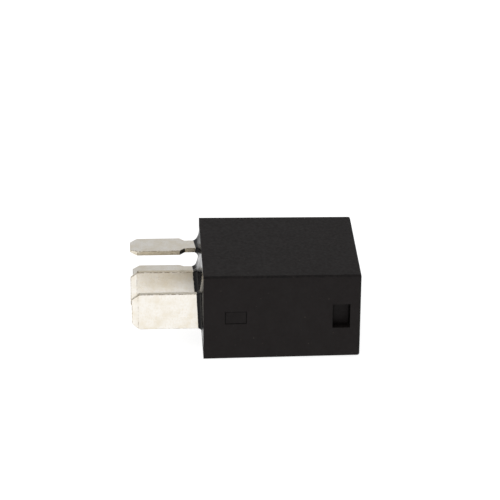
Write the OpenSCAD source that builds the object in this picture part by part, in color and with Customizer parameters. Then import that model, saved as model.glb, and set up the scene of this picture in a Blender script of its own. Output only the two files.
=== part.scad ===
// Plug-in changeover relay with five blades, built lying on one broad side.
// The origin is the centre of the cover's rim plane, which seats on the socket.
// +X runs from the rim to the closed end, the blades point along -X, +Z is up.

/* [Cover] */
// Length of the cover from its rim to its closed end
body_l = 25.5; // [25:0.1:31]
// Width of the cover at its rim, along Y
body_w = 22.5; // [22:0.1:28]
// Height of the cover at its rim, along Z
body_h = 15; // [14.8:0.1:19]
// Draft of the cover's four sides, in degrees
draft = 0.34; // [0:0.02:0.6]
// Thickness of the cover's side walls
wall = 1; // [0.8:0.05:1.2]
// Thickness of the cover's closed end
end_wall = 1; // [0.8:0.05:1.5]
// Radius of the cover's four long edges
edge_r = 0.35; // [0.2:0.05:0.7]
// Radius round the cover's closed end
end_r = 0.5; // [0.2:0.05:0.8]

/* [Grip recesses] */
// Size of each grip recess along X
recess_l = 2.85; // [2:0.05:3.7]
// Size of each grip recess along Z
recess_h = 4.25; // [3:0.05:6]
// Depth of each grip recess
recess_d = 1.6; // [1:0.05:1.7]
// Distance from the closed end to each grip recess
recess_to_end = 1.7; // [1:0.05:2]
// Wall left round and behind each grip recess
recess_wall = 0.8; // [0.6:0.05:0.9]

/* [Snap windows] */
// Size of each snap window along X
window_l = 3.5; // [2.5:0.05:4.4]
// Size of each snap window along Z
window_h = 2.2; // [1.5:0.05:3]
// Distance from the rim to each snap window
window_x = 3.5; // [3:0.05:3.8]

/* [Blades] */
// Width of the two wide blades
wide_blade_w = 6.3; // [5:0.05:7.6]
// Width of the three narrow blades
narrow_blade_w = 4.8; // [4:0.05:5.2]
// Thickness of every blade
blade_t = 0.8; // [0.6:0.02:1]
// Distance that blades 87, 85 and 86 reach past the rim
blade_l = 11.65; // [9:0.05:14]
// Shortfall of blade 30 behind the longest blades
blade_30_short = 0.1; // [0:0.05:0.5]
// Shortfall of blade 87a behind the longest blades
blade_87a_short = 0.4; // [0:0.05:0.8]
// Length of the corner chamfer at a blade's tip
tip_chamfer = 1.2; // [0.8:0.05:1.6]
// Width of the corner chamfer at a blade's tip
tip_inset = 0.95; // [0.6:0.05:1.6]
// Length of the coined taper at a blade's tip
coin_l = 1; // [0.6:0.05:1.5]
// Thickness left at a blade's very tip
coin_t = 0.4; // [0.3:0.02:0.5]
// Width of the neck behind blades 85 and 86
coil_neck_w = 3; // [2.4:0.05:3.6]
// Width of the neck behind blade 87a
break_neck_w = 3.7; // [3:0.05:4.2]
// Distance from the rim to the shoulder of a narrow blade
shoulder_x = 3.4; // [2:0.05:4]
// Length of a narrow blade's shoulder slope
shoulder_l = 0.8; // [0.3:0.05:1]

/* [Blade places] */
// Y of the middle of blade 30
pin_30_y = -8.24; // [-8.4:0.02:-8]
// Pitch from blade 30 to blade 87, along Y
pin_87_pitch = 8; // [7.6:0.05:8.2]
// Pitch from blade 87 to the narrow blades, along Y
narrow_pitch = 5.55; // [5.4:0.05:5.7]
// Height of blades 85 and 86 above and below the middle blade, along Z
coil_pin_z = 4.95; // [4.8:0.05:5.1]

/* [Base and sealing] */
// Distance from the rim to the base
base_x = 1; // [0.8:0.05:1.2]
// Thickness of the base plate
base_t = 2.3; // [2.1:0.05:2.6]
// Gap between the base and the cover, and between a terminal and its slot
fit_gap = 0.05; // [0.03:0.01:0.1]
// Thickness of each snap tongue of the base
tongue_t = 0.7; // [0.5:0.05:0.8]
// Distance that a snap nub stays below the cover's outside
nub_below = 0.05; // [0.05:0.01:0.3]
// Distance from the rim to the level of the sealing resin
resin_x = 0.3; // [0.1:0.05:0.6]
// Height that the resin climbs a blade above its own level
climb = 1.25; // [0.6:0.05:1.3]
// Radius of the resin's hollow climb
climb_r = 1.5; // [1.4:0.05:1.6]

/* [Magnet] */
// Thickness of the yoke
yoke_t = 1.4; // [1.2:0.05:1.5]
// Width of the yoke, along Z
yoke_w = 8.4; // [7:0.1:9.4]
// Room between the yoke's top edge and the closed end
head_room = 6.7; // [6.5:0.05:7.2]
// Diameter of the core's shank
core_d = 4.8; // [4:0.1:5.2]
// Diameter of the core's pole face
pole_d = 7.8; // [6:0.1:9]
// Thickness of the core's pole face
pole_t = 1; // [0.8:0.05:1.2]
// Outer diameter of the winding
winding_d = 10; // [8:0.1:10.3]
// Thickness of the tape round the winding
tape_t = 0.1; // [0.06:0.01:0.14]
// Wall of the bobbin's tube
bobbin_wall = 0.75; // [0.5:0.05:1]
// Thickness of the bobbin's flanges
flange_t = 0.8; // [0.6:0.05:1]

/* [Armature and contacts] */
// Thickness of the armature
armature_t = 1.4; // [1.2:0.05:1.5]
// Length of the armature from its hinge edge
armature_l = 12.1; // [11:0.1:12.3]
// Width of the armature over the pole
armature_w = 9.2; // [8:0.1:10]
// Angle between the open armature and the pole face, in degrees
open_angle = 3.2; // [2.6:0.05:3.6]
// Thickness of the armature spring
spring_t = 0.25; // [0.15:0.01:0.3]
// Width of the armature spring
spring_w = 5; // [4:0.1:6]
// Diameter of the contact heads
contact_d = 2.5; // [2:0.05:2.7]
// Thickness of a contact head
contact_t = 0.5; // [0.4:0.02:0.6]
// Distance from the hinge edge to the moving contact
contact_reach = 13.85; // [13.5:0.05:13.95]
// Thickness of the folded strips inside the cover
strip_t = 0.6; // [0.5:0.05:0.7]

/* [Coil connections] */
// Diameter of the resistor
resistor_d = 1.5; // [1.2:0.05:1.6]
// Length of the resistor
resistor_l = 5.6; // [4:0.1:6.4]
// Diameter of the resistor's leads
lead_d = 0.45; // [0.3:0.05:0.5]
// Diameter of the coil's wire where it leaves the winding
wire_d = 0.2; // [0.12:0.02:0.3]

/* [Hidden] */
$fn = 64;

// A small overlap that joins solids of one piece and carries cuts past a face
eps = 0.01;
// A round part's running clearance inside the magnet, on the radius
round_gap = 0.03;

// Cover: the cavity follows the outside at the wall's thickness
taper = tan(draft);
cavity_x = body_l - end_wall;
cavity_w = body_w - 2 * wall;
cavity_h = body_h - 2 * wall;
recess_x1 = body_l - recess_to_end;
recess_x0 = recess_x1 - recess_l;
recess_floor_y = body_w / 2 - recess_d - recess_x0 * taper;
recess_back_y = recess_floor_y - recess_wall;

// Blade places
pin_87_y = pin_30_y + pin_87_pitch;
narrow_y = pin_87_y + narrow_pitch;

// Base: its outline clears the tapered cavity at the base's inner face
base_x1 = base_x + base_t;
base_half_w = cavity_w / 2 - base_x1 * taper - fit_gap;
base_half_h = cavity_h / 2 - base_x1 * taper - fit_gap;
run_x = base_x + 0.7;
run_x1 = run_x + blade_t;
run_w = 2.6;
run_z = blade_t / 2 + 0.65;
tongue_end_gap = 0.2;
tongue_x1 = window_x + window_l + tongue_end_gap;
tongue_w = window_h + 0.8;
nub_gap = 0.08;
nub_ramp = 0.4;

// Magnet: the yoke stands on the base against terminal 30's inner face
foot_x = base_x1 + fit_gap;
pole_x = cavity_x - head_room;
yoke_out_y = pin_30_y + blade_t / 2;
yoke_in_y = yoke_out_y + yoke_t;
tape_r = winding_d / 2 + tape_t + round_gap;
coil_y = yoke_in_y + tape_r + 0.3;
bobbin_x0 = foot_x + yoke_t + fit_gap;
bobbin_x1 = pole_x - pole_t - fit_gap;
bobbin_in_r = core_d / 2 + round_gap;
bobbin_r = bobbin_in_r + bobbin_wall;
flange_low_y = yoke_in_y + fit_gap;
flange_high_y = coil_y + tape_r + 0.25;
flange_half_h = cavity_h / 2 - cavity_x * taper - 0.45;
yoke_foot_y = coil_y + core_d / 2 + 0.8;
spigot_r = core_d / 2 - 0.5;

// Strips beyond the coil: the make side rises first, the break side outside it
make_y = flange_high_y + 0.4;
make_y1 = make_y + strip_t;
break_y1 = recess_back_y - 0.3;
break_y = break_y1 - strip_t;
break_w = 3.4;
web_x1 = base_x1 + 0.9;

// Armature: it turns on the yoke's outer top edge
hinge_x = pole_x;
hinge_y = yoke_out_y;
top_n = armature_t;
spring_top_n = armature_t + spring_t;

// Spring: a straight foot, an outward bend by bulge_angle, a return bend, the top
bulge_angle = 60;
bulge_r = 0.8;
loop_end_y = hinge_y - armature_t * sin(open_angle) - 0.12;
foot_mid_y = yoke_out_y - spring_t / 2;
lead_bend_r = (foot_mid_y - loop_end_y + bulge_r * (cos(bulge_angle) - sin(open_angle)))
    / (1 - cos(bulge_angle));
bend_top_x = hinge_x
    + (armature_t + spring_t / 2 + (loop_end_y - hinge_y) * sin(open_angle)) / cos(open_angle);
bend_x = bend_top_x - lead_bend_r * sin(bulge_angle)
    - bulge_r * (cos(open_angle) + sin(bulge_angle));
bulge_x = bend_x + (lead_bend_r + bulge_r) * sin(bulge_angle);
bulge_y = foot_mid_y - lead_bend_r + (lead_bend_r + bulge_r) * cos(bulge_angle);
spring_foot_l = 6.4;
spring_foot_x = bend_x - spring_foot_l;
spring_tip = contact_reach + contact_d / 2 + 0.1;

// Terminal 30 ends below the spring's foot
tab_30_x1 = spring_foot_x - 0.5;
tab_30_w = 5.2;

// Rivets of the spring
rivet_d = 1.5;
rivet_head_d = 2.3;
rivet_head_t = 0.35;
yoke_rivet_pitch = 3;
yoke_rivet_x = spring_foot_x + spring_foot_l / 2;
yoke_rivet_depth = 0.9;
armature_rivet_pitch = 4;
armature_rivet_u = 3.4;
armature_rivet_w = 2.6;

// Contacts: each fixed one stops just short of the moving one
contact_gap = 0.04;
dome_rise = 0.15;
closed_under_x = pole_x + armature_t - contact_t;
make_tip_x = closed_under_x - contact_gap;
make_arm_x1 = make_tip_x - contact_t - dome_rise;
make_arm_x = make_arm_x1 - strip_t;
open_top_n = spring_top_n + contact_t;
break_tip_x = pole_x + (open_top_n + contact_gap) * cos(open_angle)
    + contact_reach * sin(open_angle) + contact_d / 2 * sin(open_angle);
break_arm_x = break_tip_x + contact_t + dome_rise;
break_arm_x1 = break_arm_x + strip_t;
fixed_contact_y = hinge_y + contact_reach * cos(open_angle);
rivet_stem_d = 1.3;
stem_out = 0.25;

// Coil connections: the tabs of 85 and 86 stand beside the bobbin
tab_x1 = bobbin_x0 + 4;
tab_y = flange_high_y + 0.35;
tab_y1 = narrow_y + 2.1;
resistor_x = web_x1 + resistor_d / 2 + 0.4;
resistor_y = (make_y1 + break_y) / 2;
lead_hole_gap = 0.03;
tab_face_z = coil_pin_z - blade_t / 2;
tab_back_z = coil_pin_z + blade_t / 2;
lead_out = 0.35;
wire_x = bobbin_x0 + flange_t + wire_d;
wrap_x = wire_x + 0.9;
wrap_turns = 4;
wrap_pitch = wire_d * 1.15;
lead_angle = 55;

// A block along +X from x0 to x1 whose sides keep the cover's draft
module drafted(x0, x1, w, h) {
    intersection() {
        translate([0, 0, -h])
            linear_extrude(2 * h)
                trapezoid(x0, x1, w);
        translate([0, w, 0])
            rotate([90, 0, 0])
                linear_extrude(2 * w)
                    trapezoid(x0, x1, h);
    }
}

// The outline of one drafted pair of sides, w apart at the rim
module trapezoid(x0, x1, w) {
    a = w / 2 - x0 * taper;
    b = w / 2 - x1 * taper;
    polygon([[x0, -a], [x1, -b], [x1, b], [x0, a]]);
}

// A box from one corner to the other
module block(low, high) {
    translate(low)
        cube(high - low);
}

// A round bar along +X, +Y or +Z from a start point
module bar_x(start, length, radius) {
    translate(start)
        rotate([0, 90, 0])
            cylinder(h = length, r = radius);
}

module bar_y(start, length, radius) {
    translate(start)
        rotate([-90, 0, 0])
            cylinder(h = length, r = radius);
}

module bar_z(start, length, radius) {
    translate(start)
        cylinder(h = length, r = radius);
}

// A round bar from one point to another
module bar_between(p, q, radius) {
    d = q - p;
    length = norm(d);
    translate(p)
        rotate([0, acos(d[2] / length), atan2(d[1], d[0])])
            cylinder(h = length, r = radius);
}

// Places its children in the armature's frame: X along its normal, Y along it
module on_armature(angle = open_angle) {
    translate([hinge_x, hinge_y, 0])
        rotate([0, 0, -angle])
            children();
}

// The four rounded corners of the cover's section at one level. Each is the base of
// a cone whose point lies inside the cover, so that a hull has one ring of corners there
module cover_section(x, inset, inwards) {
    half_w = body_w / 2 - x * taper - edge_r;
    half_h = body_h / 2 - x * taper - edge_r;
    for (sy = [-1, 1], sz = [-1, 1])
        translate([x, sy * half_w, sz * half_h])
            rotate([0, inwards * 90, 0])
                cylinder(h = edge_r, r1 = max(edge_r - inset, eps), r2 = 0, $fn = 32);
}

// The cover's outside, closed and rounded at its far end
module cover_outside() {
    hull() {
        cover_section(0, 0, 1);
        for (a = [0:18:90])
            cover_section(body_l - end_r * (1 - sin(a)), end_r * (1 - cos(a)), -1);
    }
}

// Mirrors its children to both narrow sides
module both_sides() {
    for (s = [0, 1])
        mirror([0, s, 0])
            children();
}

module cover() {
    color([0.16, 0.155, 0.15])
        difference() {
            union() {
                difference() {
                    cover_outside();
                    drafted(-1, cavity_x, cavity_w, cavity_h);
                }
                both_sides()
                    block(
                        [recess_x0 - recess_wall, recess_back_y, -recess_h / 2 - recess_wall],
                        [cavity_x + eps, cavity_w / 2, recess_h / 2 + recess_wall]
                    );
            }
            both_sides() {
                block(
                    [recess_x0, recess_floor_y, -recess_h / 2],
                    [recess_x1, body_w, recess_h / 2]
                );
                block(
                    [window_x, cavity_w / 2 - wall, -window_h / 2],
                    [window_x + window_l, body_w, window_h / 2]
                );
            }
        }
}

// The clearance that every terminal has through the base
module terminal_slots() {
    g = fit_gap;
    t = blade_t / 2 + g;
    half_wide = wide_blade_w / 2 + g;
    block([0, pin_30_y - t, -half_wide], [foot_x + 1, pin_30_y + t, half_wide]);
    block([0, pin_87_y - t, -half_wide], [foot_x + 1, pin_87_y + t, half_wide]);
    block([run_x, pin_87_y - t, run_z - g], [foot_x + 1, make_y1 + g, run_z + run_w + g]);
    for (z = [0, coil_pin_z, -coil_pin_z])
        block(
            [0, narrow_y - narrow_blade_w / 2 - g, z - t],
            [foot_x + 1, narrow_y + narrow_blade_w / 2 + g, z + t]
        );
    block([run_x, narrow_y, -t], [foot_x + 1, break_y1 + g, t]);
    block([run_x, break_y - g, -break_w - g], [foot_x + 1, break_y1 + g, t]);
}

module base() {
    nub_y = body_w / 2 - nub_below - tongue_x1 * taper;
    tongue_low_y = base_half_w - tongue_t;
    tongue_high_y = cavity_w / 2 - tongue_x1 * taper - fit_gap;
    color([0.12, 0.12, 0.12]) {
        difference() {
            block([base_x, -base_half_w, -base_half_h], [base_x1, base_half_w, base_half_h]);
            terminal_slots();
        }
        both_sides() {
            block(
                [base_x1 - eps, tongue_low_y, -tongue_w / 2],
                [tongue_x1, tongue_high_y, tongue_w / 2]
            );
            translate([0, 0, -window_h / 2 + nub_gap])
                linear_extrude(window_h - 2 * nub_gap)
                    polygon([
                        [window_x + nub_gap, tongue_high_y - eps],
                        [window_x + nub_gap, nub_y],
                        [window_x + window_l - nub_ramp, nub_y],
                        [window_x + window_l - nub_gap, tongue_high_y + nub_below],
                        [window_x + window_l - nub_gap, tongue_high_y - eps]
                    ]);
        }
    }
}

// The section of the resin's climb: it thins upwards in a hollow on both sides
module climb_outline(half) {
    foot = half + climb_r;
    difference() {
        translate([resin_x - climb, -foot])
            square([climb + eps, 2 * foot]);
        for (side = [-1, 1])
            translate([resin_x - climb_r, side * foot])
                circle(r = climb_r);
    }
}

// The resin that climbs one blade, as the meeting of two hollow sections
module resin_collar(y, z, size_y, size_z) {
    reach = climb_r + 1;
    translate([0, y, z])
        intersection() {
            translate([0, 0, -size_z / 2 - reach])
                linear_extrude(size_z + 2 * reach)
                    climb_outline(size_y / 2);
            translate([0, size_y / 2 + reach, 0])
                rotate([90, 0, 0])
                    linear_extrude(size_y + 2 * reach)
                        climb_outline(size_z / 2);
        }
}

module sealing_resin() {
    color([0.05, 0.05, 0.05])
        difference() {
            union() {
                drafted(resin_x, base_x, cavity_w, cavity_h);
                intersection() {
                    drafted(-climb, base_x, cavity_w, cavity_h);
                    union() {
                        for (y = [pin_30_y, pin_87_y])
                            resin_collar(y, 0, blade_t, wide_blade_w);
                        resin_collar(narrow_y, 0, break_neck_w, blade_t);
                        for (z = [-coil_pin_z, coil_pin_z])
                            resin_collar(narrow_y, z, coil_neck_w, blade_t);
                    }
                }
            }
            for (y = [pin_30_y, pin_87_y])
                block(
                    [-climb - 1, y - blade_t / 2, -wide_blade_w / 2],
                    [base_x + 1, y + blade_t / 2, wide_blade_w / 2]
                );
            neck_hole(0, break_neck_w);
            for (z = [-coil_pin_z, coil_pin_z])
                neck_hole(z, coil_neck_w);
        }
}

// The space of a narrow blade's neck through the resin
module neck_hole(z, neck_w) {
    block(
        [-climb - 1, narrow_y - neck_w / 2, z - blade_t / 2],
        [base_x + 1, narrow_y + neck_w / 2, z + blade_t / 2]
    );
}

// A flat blade in the XY plane with chamfered corners and a coined tip,
// from x = -length to x = root, with an optional neck behind its shoulder
module blade(length, width, root, neck_w) {
    half = width / 2;
    neck = neck_w / 2;
    intersection() {
        translate([0, 0, -blade_t / 2])
            linear_extrude(blade_t)
                polygon([
                    [-length, half - tip_inset],
                    [-length + tip_chamfer, half],
                    [-shoulder_x, half],
                    [-shoulder_x + shoulder_l, neck],
                    [root, neck],
                    [root, -neck],
                    [-shoulder_x + shoulder_l, -neck],
                    [-shoulder_x, -half],
                    [-length + tip_chamfer, -half],
                    [-length, -half + tip_inset]
                ]);
        translate([0, width, 0])
            rotate([90, 0, 0])
                linear_extrude(2 * width)
                    polygon([
                        [-length, coin_t / 2],
                        [-length + coin_l, blade_t / 2],
                        [root, blade_t / 2],
                        [root, -blade_t / 2],
                        [-length + coin_l, -blade_t / 2],
                        [-length, -coin_t / 2]
                    ]);
    }
}

// A blade that stands on edge, its width along Z
module upright_blade(y, length, root) {
    translate([0, y, 0])
        rotate([90, 0, 0])
            blade(length, wide_blade_w, root, wide_blade_w);
}

module terminal_30() {
    color([0.78, 0.76, 0.72]) {
        upright_blade(pin_30_y, blade_l - blade_30_short, base_x1);
        block(
            [base_x1 - eps, pin_30_y - blade_t / 2, -tab_30_w / 2],
            [tab_30_x1, pin_30_y + blade_t / 2, tab_30_w / 2]
        );
    }
}

module terminal_87() {
    plate_y1 = fixed_contact_y + contact_d / 2 + 0.05;
    plate_z0 = -contact_d / 2 - 0.3;
    low_y = pin_87_y - blade_t / 2;
    color([0.78, 0.76, 0.72]) {
        upright_blade(pin_87_y, blade_l, run_x1);
        block([run_x, low_y, run_z], [run_x1, make_y1, run_z + run_w]);
        block([run_x, make_y, run_z], [make_arm_x1, make_y1, run_z + run_w]);
        difference() {
            block([make_arm_x, make_y, plate_z0], [make_arm_x1, plate_y1, run_z + run_w]);
            bar_x([make_arm_x - 1, fixed_contact_y, 0], strip_t + 2, rivet_stem_d / 2);
        }
    }
}

module terminal_87a() {
    low_y = fixed_contact_y - contact_d / 2 - 0.1;
    high_z = contact_d / 2 + 0.1;
    color([0.78, 0.76, 0.72]) {
        translate([0, narrow_y, 0])
            blade(blade_l - blade_87a_short, narrow_blade_w, run_x1, break_neck_w);
        block(
            [run_x, narrow_y - break_neck_w / 2, -blade_t / 2],
            [web_x1, break_y1, blade_t / 2]
        );
        block([run_x, break_y, -break_w], [break_arm_x1, break_y1, blade_t / 2]);
        difference() {
            block([break_arm_x, low_y, -break_w], [break_arm_x1, break_y1, high_z]);
            bar_x([break_arm_x - 1, fixed_contact_y, 0], strip_t + 2, rivet_stem_d / 2);
        }
    }
}

// A coil terminal, with its tab beside the bobbin and a hole for the resistor
module coil_terminal(z) {
    color([0.78, 0.76, 0.72])
        difference() {
            union() {
                translate([0, narrow_y, z])
                    blade(blade_l, narrow_blade_w, base_x1, coil_neck_w);
                block(
                    [run_x, tab_y, z - blade_t / 2],
                    [tab_x1, tab_y1, z + blade_t / 2]
                );
            }
            bar_z(
                [resistor_x, resistor_y, z - blade_t],
                2 * blade_t,
                lead_d / 2 + lead_hole_gap
            );
        }
}

module terminal_85() {
    coil_terminal(-coil_pin_z);
}

module terminal_86() {
    coil_terminal(coil_pin_z);
}

module yoke() {
    r = yoke_t;
    color([0.62, 0.6, 0.55])
        difference() {
            translate([0, 0, -yoke_w / 2])
                linear_extrude(yoke_w) {
                    translate([foot_x + r, yoke_out_y])
                        square([pole_x - foot_x - r, yoke_t]);
                    translate([foot_x, yoke_out_y + r])
                        square([yoke_t, yoke_foot_y - yoke_out_y - r]);
                    intersection() {
                        translate([foot_x + r, yoke_out_y + r])
                            circle(r = r);
                        translate([foot_x, yoke_out_y])
                            square(r + eps);
                    }
                }
            bar_x([foot_x - 1, coil_y, 0], yoke_t + 2, spigot_r + round_gap);
            for (z = [-yoke_rivet_pitch / 2, yoke_rivet_pitch / 2])
                bar_y([yoke_rivet_x, yoke_out_y - 1, z], yoke_rivet_depth + 1, rivet_d / 2);
        }
}

module core() {
    color([0.66, 0.65, 0.62]) {
        bar_x([foot_x, coil_y, 0], yoke_t + eps, spigot_r);
        bar_x([foot_x + yoke_t, coil_y, 0], pole_x - pole_t - foot_x - yoke_t + eps, core_d / 2);
        bar_x([pole_x - pole_t, coil_y, 0], pole_t, pole_d / 2);
    }
}

// One flange of the bobbin with rounded corners
module flange(x) {
    r = 0.8;
    low_y = flange_low_y + r;
    high_y = flange_high_y - r;
    top = flange_half_h - r;
    block([x, flange_low_y, -top], [x + flange_t, flange_high_y, top]);
    block([x, low_y, -flange_half_h], [x + flange_t, high_y, flange_half_h]);
    for (y = [low_y, high_y], z = [-top, top])
        bar_x([x, y, z], flange_t, r);
}

module coil_bobbin() {
    color([0.85, 0.83, 0.76])
        difference() {
            union() {
                flange(bobbin_x0);
                flange(bobbin_x1 - flange_t);
                bar_x([bobbin_x0, coil_y, 0], bobbin_x1 - bobbin_x0, bobbin_r);
            }
            bar_x([bobbin_x0 - 1, coil_y, 0], bobbin_x1 - bobbin_x0 + 2, bobbin_in_r);
        }
}

// A sleeve round the coil's axis, between the flanges
module coil_sleeve(inner_r, outer_r) {
    x0 = bobbin_x0 + flange_t + round_gap;
    length = bobbin_x1 - flange_t - round_gap - x0;
    difference() {
        bar_x([x0, coil_y, 0], length, outer_r);
        bar_x([x0 - 1, coil_y, 0], length + 2, inner_r);
    }
}

module coil_winding() {
    color([0.72, 0.36, 0.16])
        coil_sleeve(bobbin_r + round_gap, winding_d / 2);
}

module coil_tape() {
    color([0.85, 0.7, 0.25])
        coil_sleeve(winding_d / 2 + round_gap, tape_r);
}

module armature() {
    heel_w = yoke_w - 1.4;
    shoulder = 2.2;
    color([0.62, 0.6, 0.55])
        on_armature()
            difference() {
                union() {
                    block([0, 0, -heel_w / 2], [armature_t, armature_l, heel_w / 2]);
                    block(
                        [0, shoulder, -armature_w / 2],
                        [armature_t, armature_l - 1, armature_w / 2]
                    );
                }
                for (z = [-armature_rivet_w / 2, armature_rivet_w / 2])
                    for (y = [armature_rivet_u, armature_rivet_u + armature_rivet_pitch])
                        bar_x([-1, y, z], armature_t + 2, rivet_d / 2);
            }
}

// A piece of a ring of the spring's thickness, between two headings
module bend(x, y, r, from, to) {
    reach = r + spring_t;
    translate([x, y])
        intersection() {
            difference() {
                circle(r = r + spring_t / 2);
                circle(r = r - spring_t / 2);
            }
            polygon([
                [0, 0],
                [reach * cos(from), reach * sin(from)],
                [2 * reach * cos((from + to) / 2), 2 * reach * sin((from + to) / 2)],
                [reach * cos(to), reach * sin(to)]
            ]);
        }
}

module armature_spring() {
    overlap = 0.02;
    color([0.76, 0.6, 0.36])
        difference() {
            union() {
                translate([0, 0, -spring_w / 2])
                    linear_extrude(spring_w) {
                        translate([spring_foot_x, foot_mid_y - spring_t / 2])
                            square([spring_foot_l + overlap, spring_t]);
                        bend(bend_x, foot_mid_y - lead_bend_r, lead_bend_r, 90 - bulge_angle, 90);
                        bend(
                            bulge_x, bulge_y, bulge_r,
                            -90 - bulge_angle, -open_angle
                        );
                    }
                on_armature()
                    block(
                        [top_n, loop_end_y - hinge_y - overlap, -spring_w / 2],
                        [spring_top_n, armature_l, spring_w / 2]
                    );
                on_armature()
                    block(
                        [top_n, armature_l - eps, -spring_w / 2 + 0.9],
                        [spring_top_n, spring_tip, spring_w / 2 - 0.9]
                    );
            }
            for (z = [-yoke_rivet_pitch / 2, yoke_rivet_pitch / 2])
                bar_y([yoke_rivet_x, yoke_out_y - 1, z], 2, rivet_d / 2);
            on_armature() {
                for (z = [-armature_rivet_w / 2, armature_rivet_w / 2])
                    for (y = [armature_rivet_u, armature_rivet_u + armature_rivet_pitch])
                        bar_x([top_n - 1, y, z], 2, rivet_d / 2);
                bar_x([top_n - 1, contact_reach, 0], 2, rivet_stem_d / 2);
            }
        }
}

module spring_yoke_rivets() {
    head_y = yoke_out_y - spring_t - rivet_head_t;
    color([0.7, 0.68, 0.62])
        for (z = [-yoke_rivet_pitch / 2, yoke_rivet_pitch / 2]) {
            bar_y([yoke_rivet_x, head_y, z], rivet_head_t, rivet_head_d / 2);
            bar_y(
                [yoke_rivet_x, head_y + eps, z],
                rivet_head_t + spring_t + yoke_rivet_depth - eps - round_gap,
                rivet_d / 2 - round_gap
            );
        }
}

module spring_armature_rivets() {
    color([0.7, 0.68, 0.62])
        on_armature()
            for (z = [-armature_rivet_w / 2, armature_rivet_w / 2])
                for (y = [armature_rivet_u, armature_rivet_u + armature_rivet_pitch]) {
                    bar_x([spring_top_n, y, z], rivet_head_t, rivet_head_d / 2);
                    bar_x(
                        [round_gap, y, z],
                        spring_top_n + eps - round_gap,
                        rivet_d / 2 - round_gap
                    );
                }
}

// A contact head with a slight dome, facing +X
module domed_head() {
    dome_r = (pow(contact_d / 2, 2) + pow(dome_rise, 2)) / (2 * dome_rise);
    rotate([0, 90, 0])
        rotate_extrude() {
            square([contact_d / 2, contact_t + eps]);
            intersection() {
                translate([0, contact_t + dome_rise - dome_r])
                    circle(r = dome_r, $fn = 400);
                translate([0, contact_t])
                    square([contact_d / 2, dome_rise + eps]);
            }
        }
}

// The stem and the upset end of a fixed contact, behind its head
module contact_stem() {
    bar_x([-strip_t - eps, 0, 0], strip_t + 2 * eps, rivet_stem_d / 2 - round_gap);
    bar_x([-strip_t - stem_out, 0, 0], stem_out, rivet_stem_d / 2 + 0.3);
}

module moving_contact() {
    color([0.86, 0.86, 0.84])
        on_armature() {
            bar_x([top_n - contact_t, contact_reach, 0], contact_t, contact_d / 2);
            bar_x([top_n - eps, contact_reach, 0], spring_t + 2 * eps, rivet_stem_d / 2 - round_gap);
            bar_x([spring_top_n, contact_reach, 0], contact_t, contact_d / 2);
        }
}

module contact_no() {
    color([0.86, 0.86, 0.84])
        translate([make_arm_x1, fixed_contact_y, 0]) {
            domed_head();
            contact_stem();
        }
}

module contact_nc() {
    color([0.86, 0.86, 0.84])
        translate([break_arm_x, fixed_contact_y, 0])
            mirror([1, 0, 0]) {
                domed_head();
                contact_stem();
            }
}

module resistor_body() {
    neck_d = resistor_d - 0.2;
    cap = resistor_l * 0.16;
    color([0.55, 0.7, 0.75])
        translate([resistor_x, resistor_y, 0]) {
            for (z = [-resistor_l / 2, resistor_l / 2 - cap])
                bar_z([0, 0, z], cap, resistor_d / 2);
            bar_z([0, 0, -resistor_l / 2 + eps], resistor_l - 2 * eps, neck_d / 2);
        }
}

module resistor_leads() {
    color([0.75, 0.74, 0.72])
        for (s = [0, 1])
            mirror([0, 0, s])
                bar_z(
                    [resistor_x, resistor_y, resistor_l / 2],
                    tab_back_z + lead_out - resistor_l / 2,
                    lead_d / 2
                );
}

// The wire from the winding's edge to one tab, with its turns round the tab
module coil_lead() {
    r = wire_d / 2;
    start_r = tape_r + r + round_gap;
    start = [
        wire_x,
        coil_y + start_r * cos(lead_angle),
        start_r * sin(lead_angle)
    ];
    bar_between(start, [wrap_x + r, tab_y - r, tab_face_z], r);
    for (i = [0:wrap_turns - 1])
        translate([wrap_x + i * wrap_pitch, 0, 0])
            difference() {
                block([0, tab_y - wire_d, tab_face_z - wire_d],
                    [wire_d, tab_y1 + wire_d, tab_back_z + wire_d]);
                block([-1, tab_y, tab_face_z], [1, tab_y1, tab_back_z]);
            }
}

module coil_leads() {
    color([0.75, 0.4, 0.18])
        for (s = [0, 1])
            mirror([0, 0, s])
                coil_lead();
}

module solder_joints() {
    joint_r = lead_d / 2 + 0.35;
    color([0.8, 0.8, 0.8])
        for (s = [0, 1])
            mirror([0, 0, s])
                difference() {
                    bar_z([resistor_x, resistor_y, tab_back_z], lead_out * 0.6, joint_r);
                    bar_z([resistor_x, resistor_y, tab_back_z - 1], 2, lead_d / 2);
                }
}

cover();
base();
sealing_resin();
terminal_30();
terminal_87();
terminal_87a();
terminal_85();
terminal_86();
yoke();
core();
coil_bobbin();
coil_winding();
coil_tape();
armature();
armature_spring();
spring_yoke_rivets();
spring_armature_rivets();
moving_contact();
contact_no();
contact_nc();
resistor_body();
resistor_leads();
coil_leads();
solder_joints();
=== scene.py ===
"""Looks of a plug-in changeover relay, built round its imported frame.

The moulded cover, the sealing resin, the blades and the magnet inside are
modelled in millimetres and brought to metres when a piece is finished. Places
and outer sizes come from the frame's own nodes.
"""

import logging
import math
from dataclasses import dataclass, field
from enum import Enum
from typing import Callable, Iterable, Optional, Sequence

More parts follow.
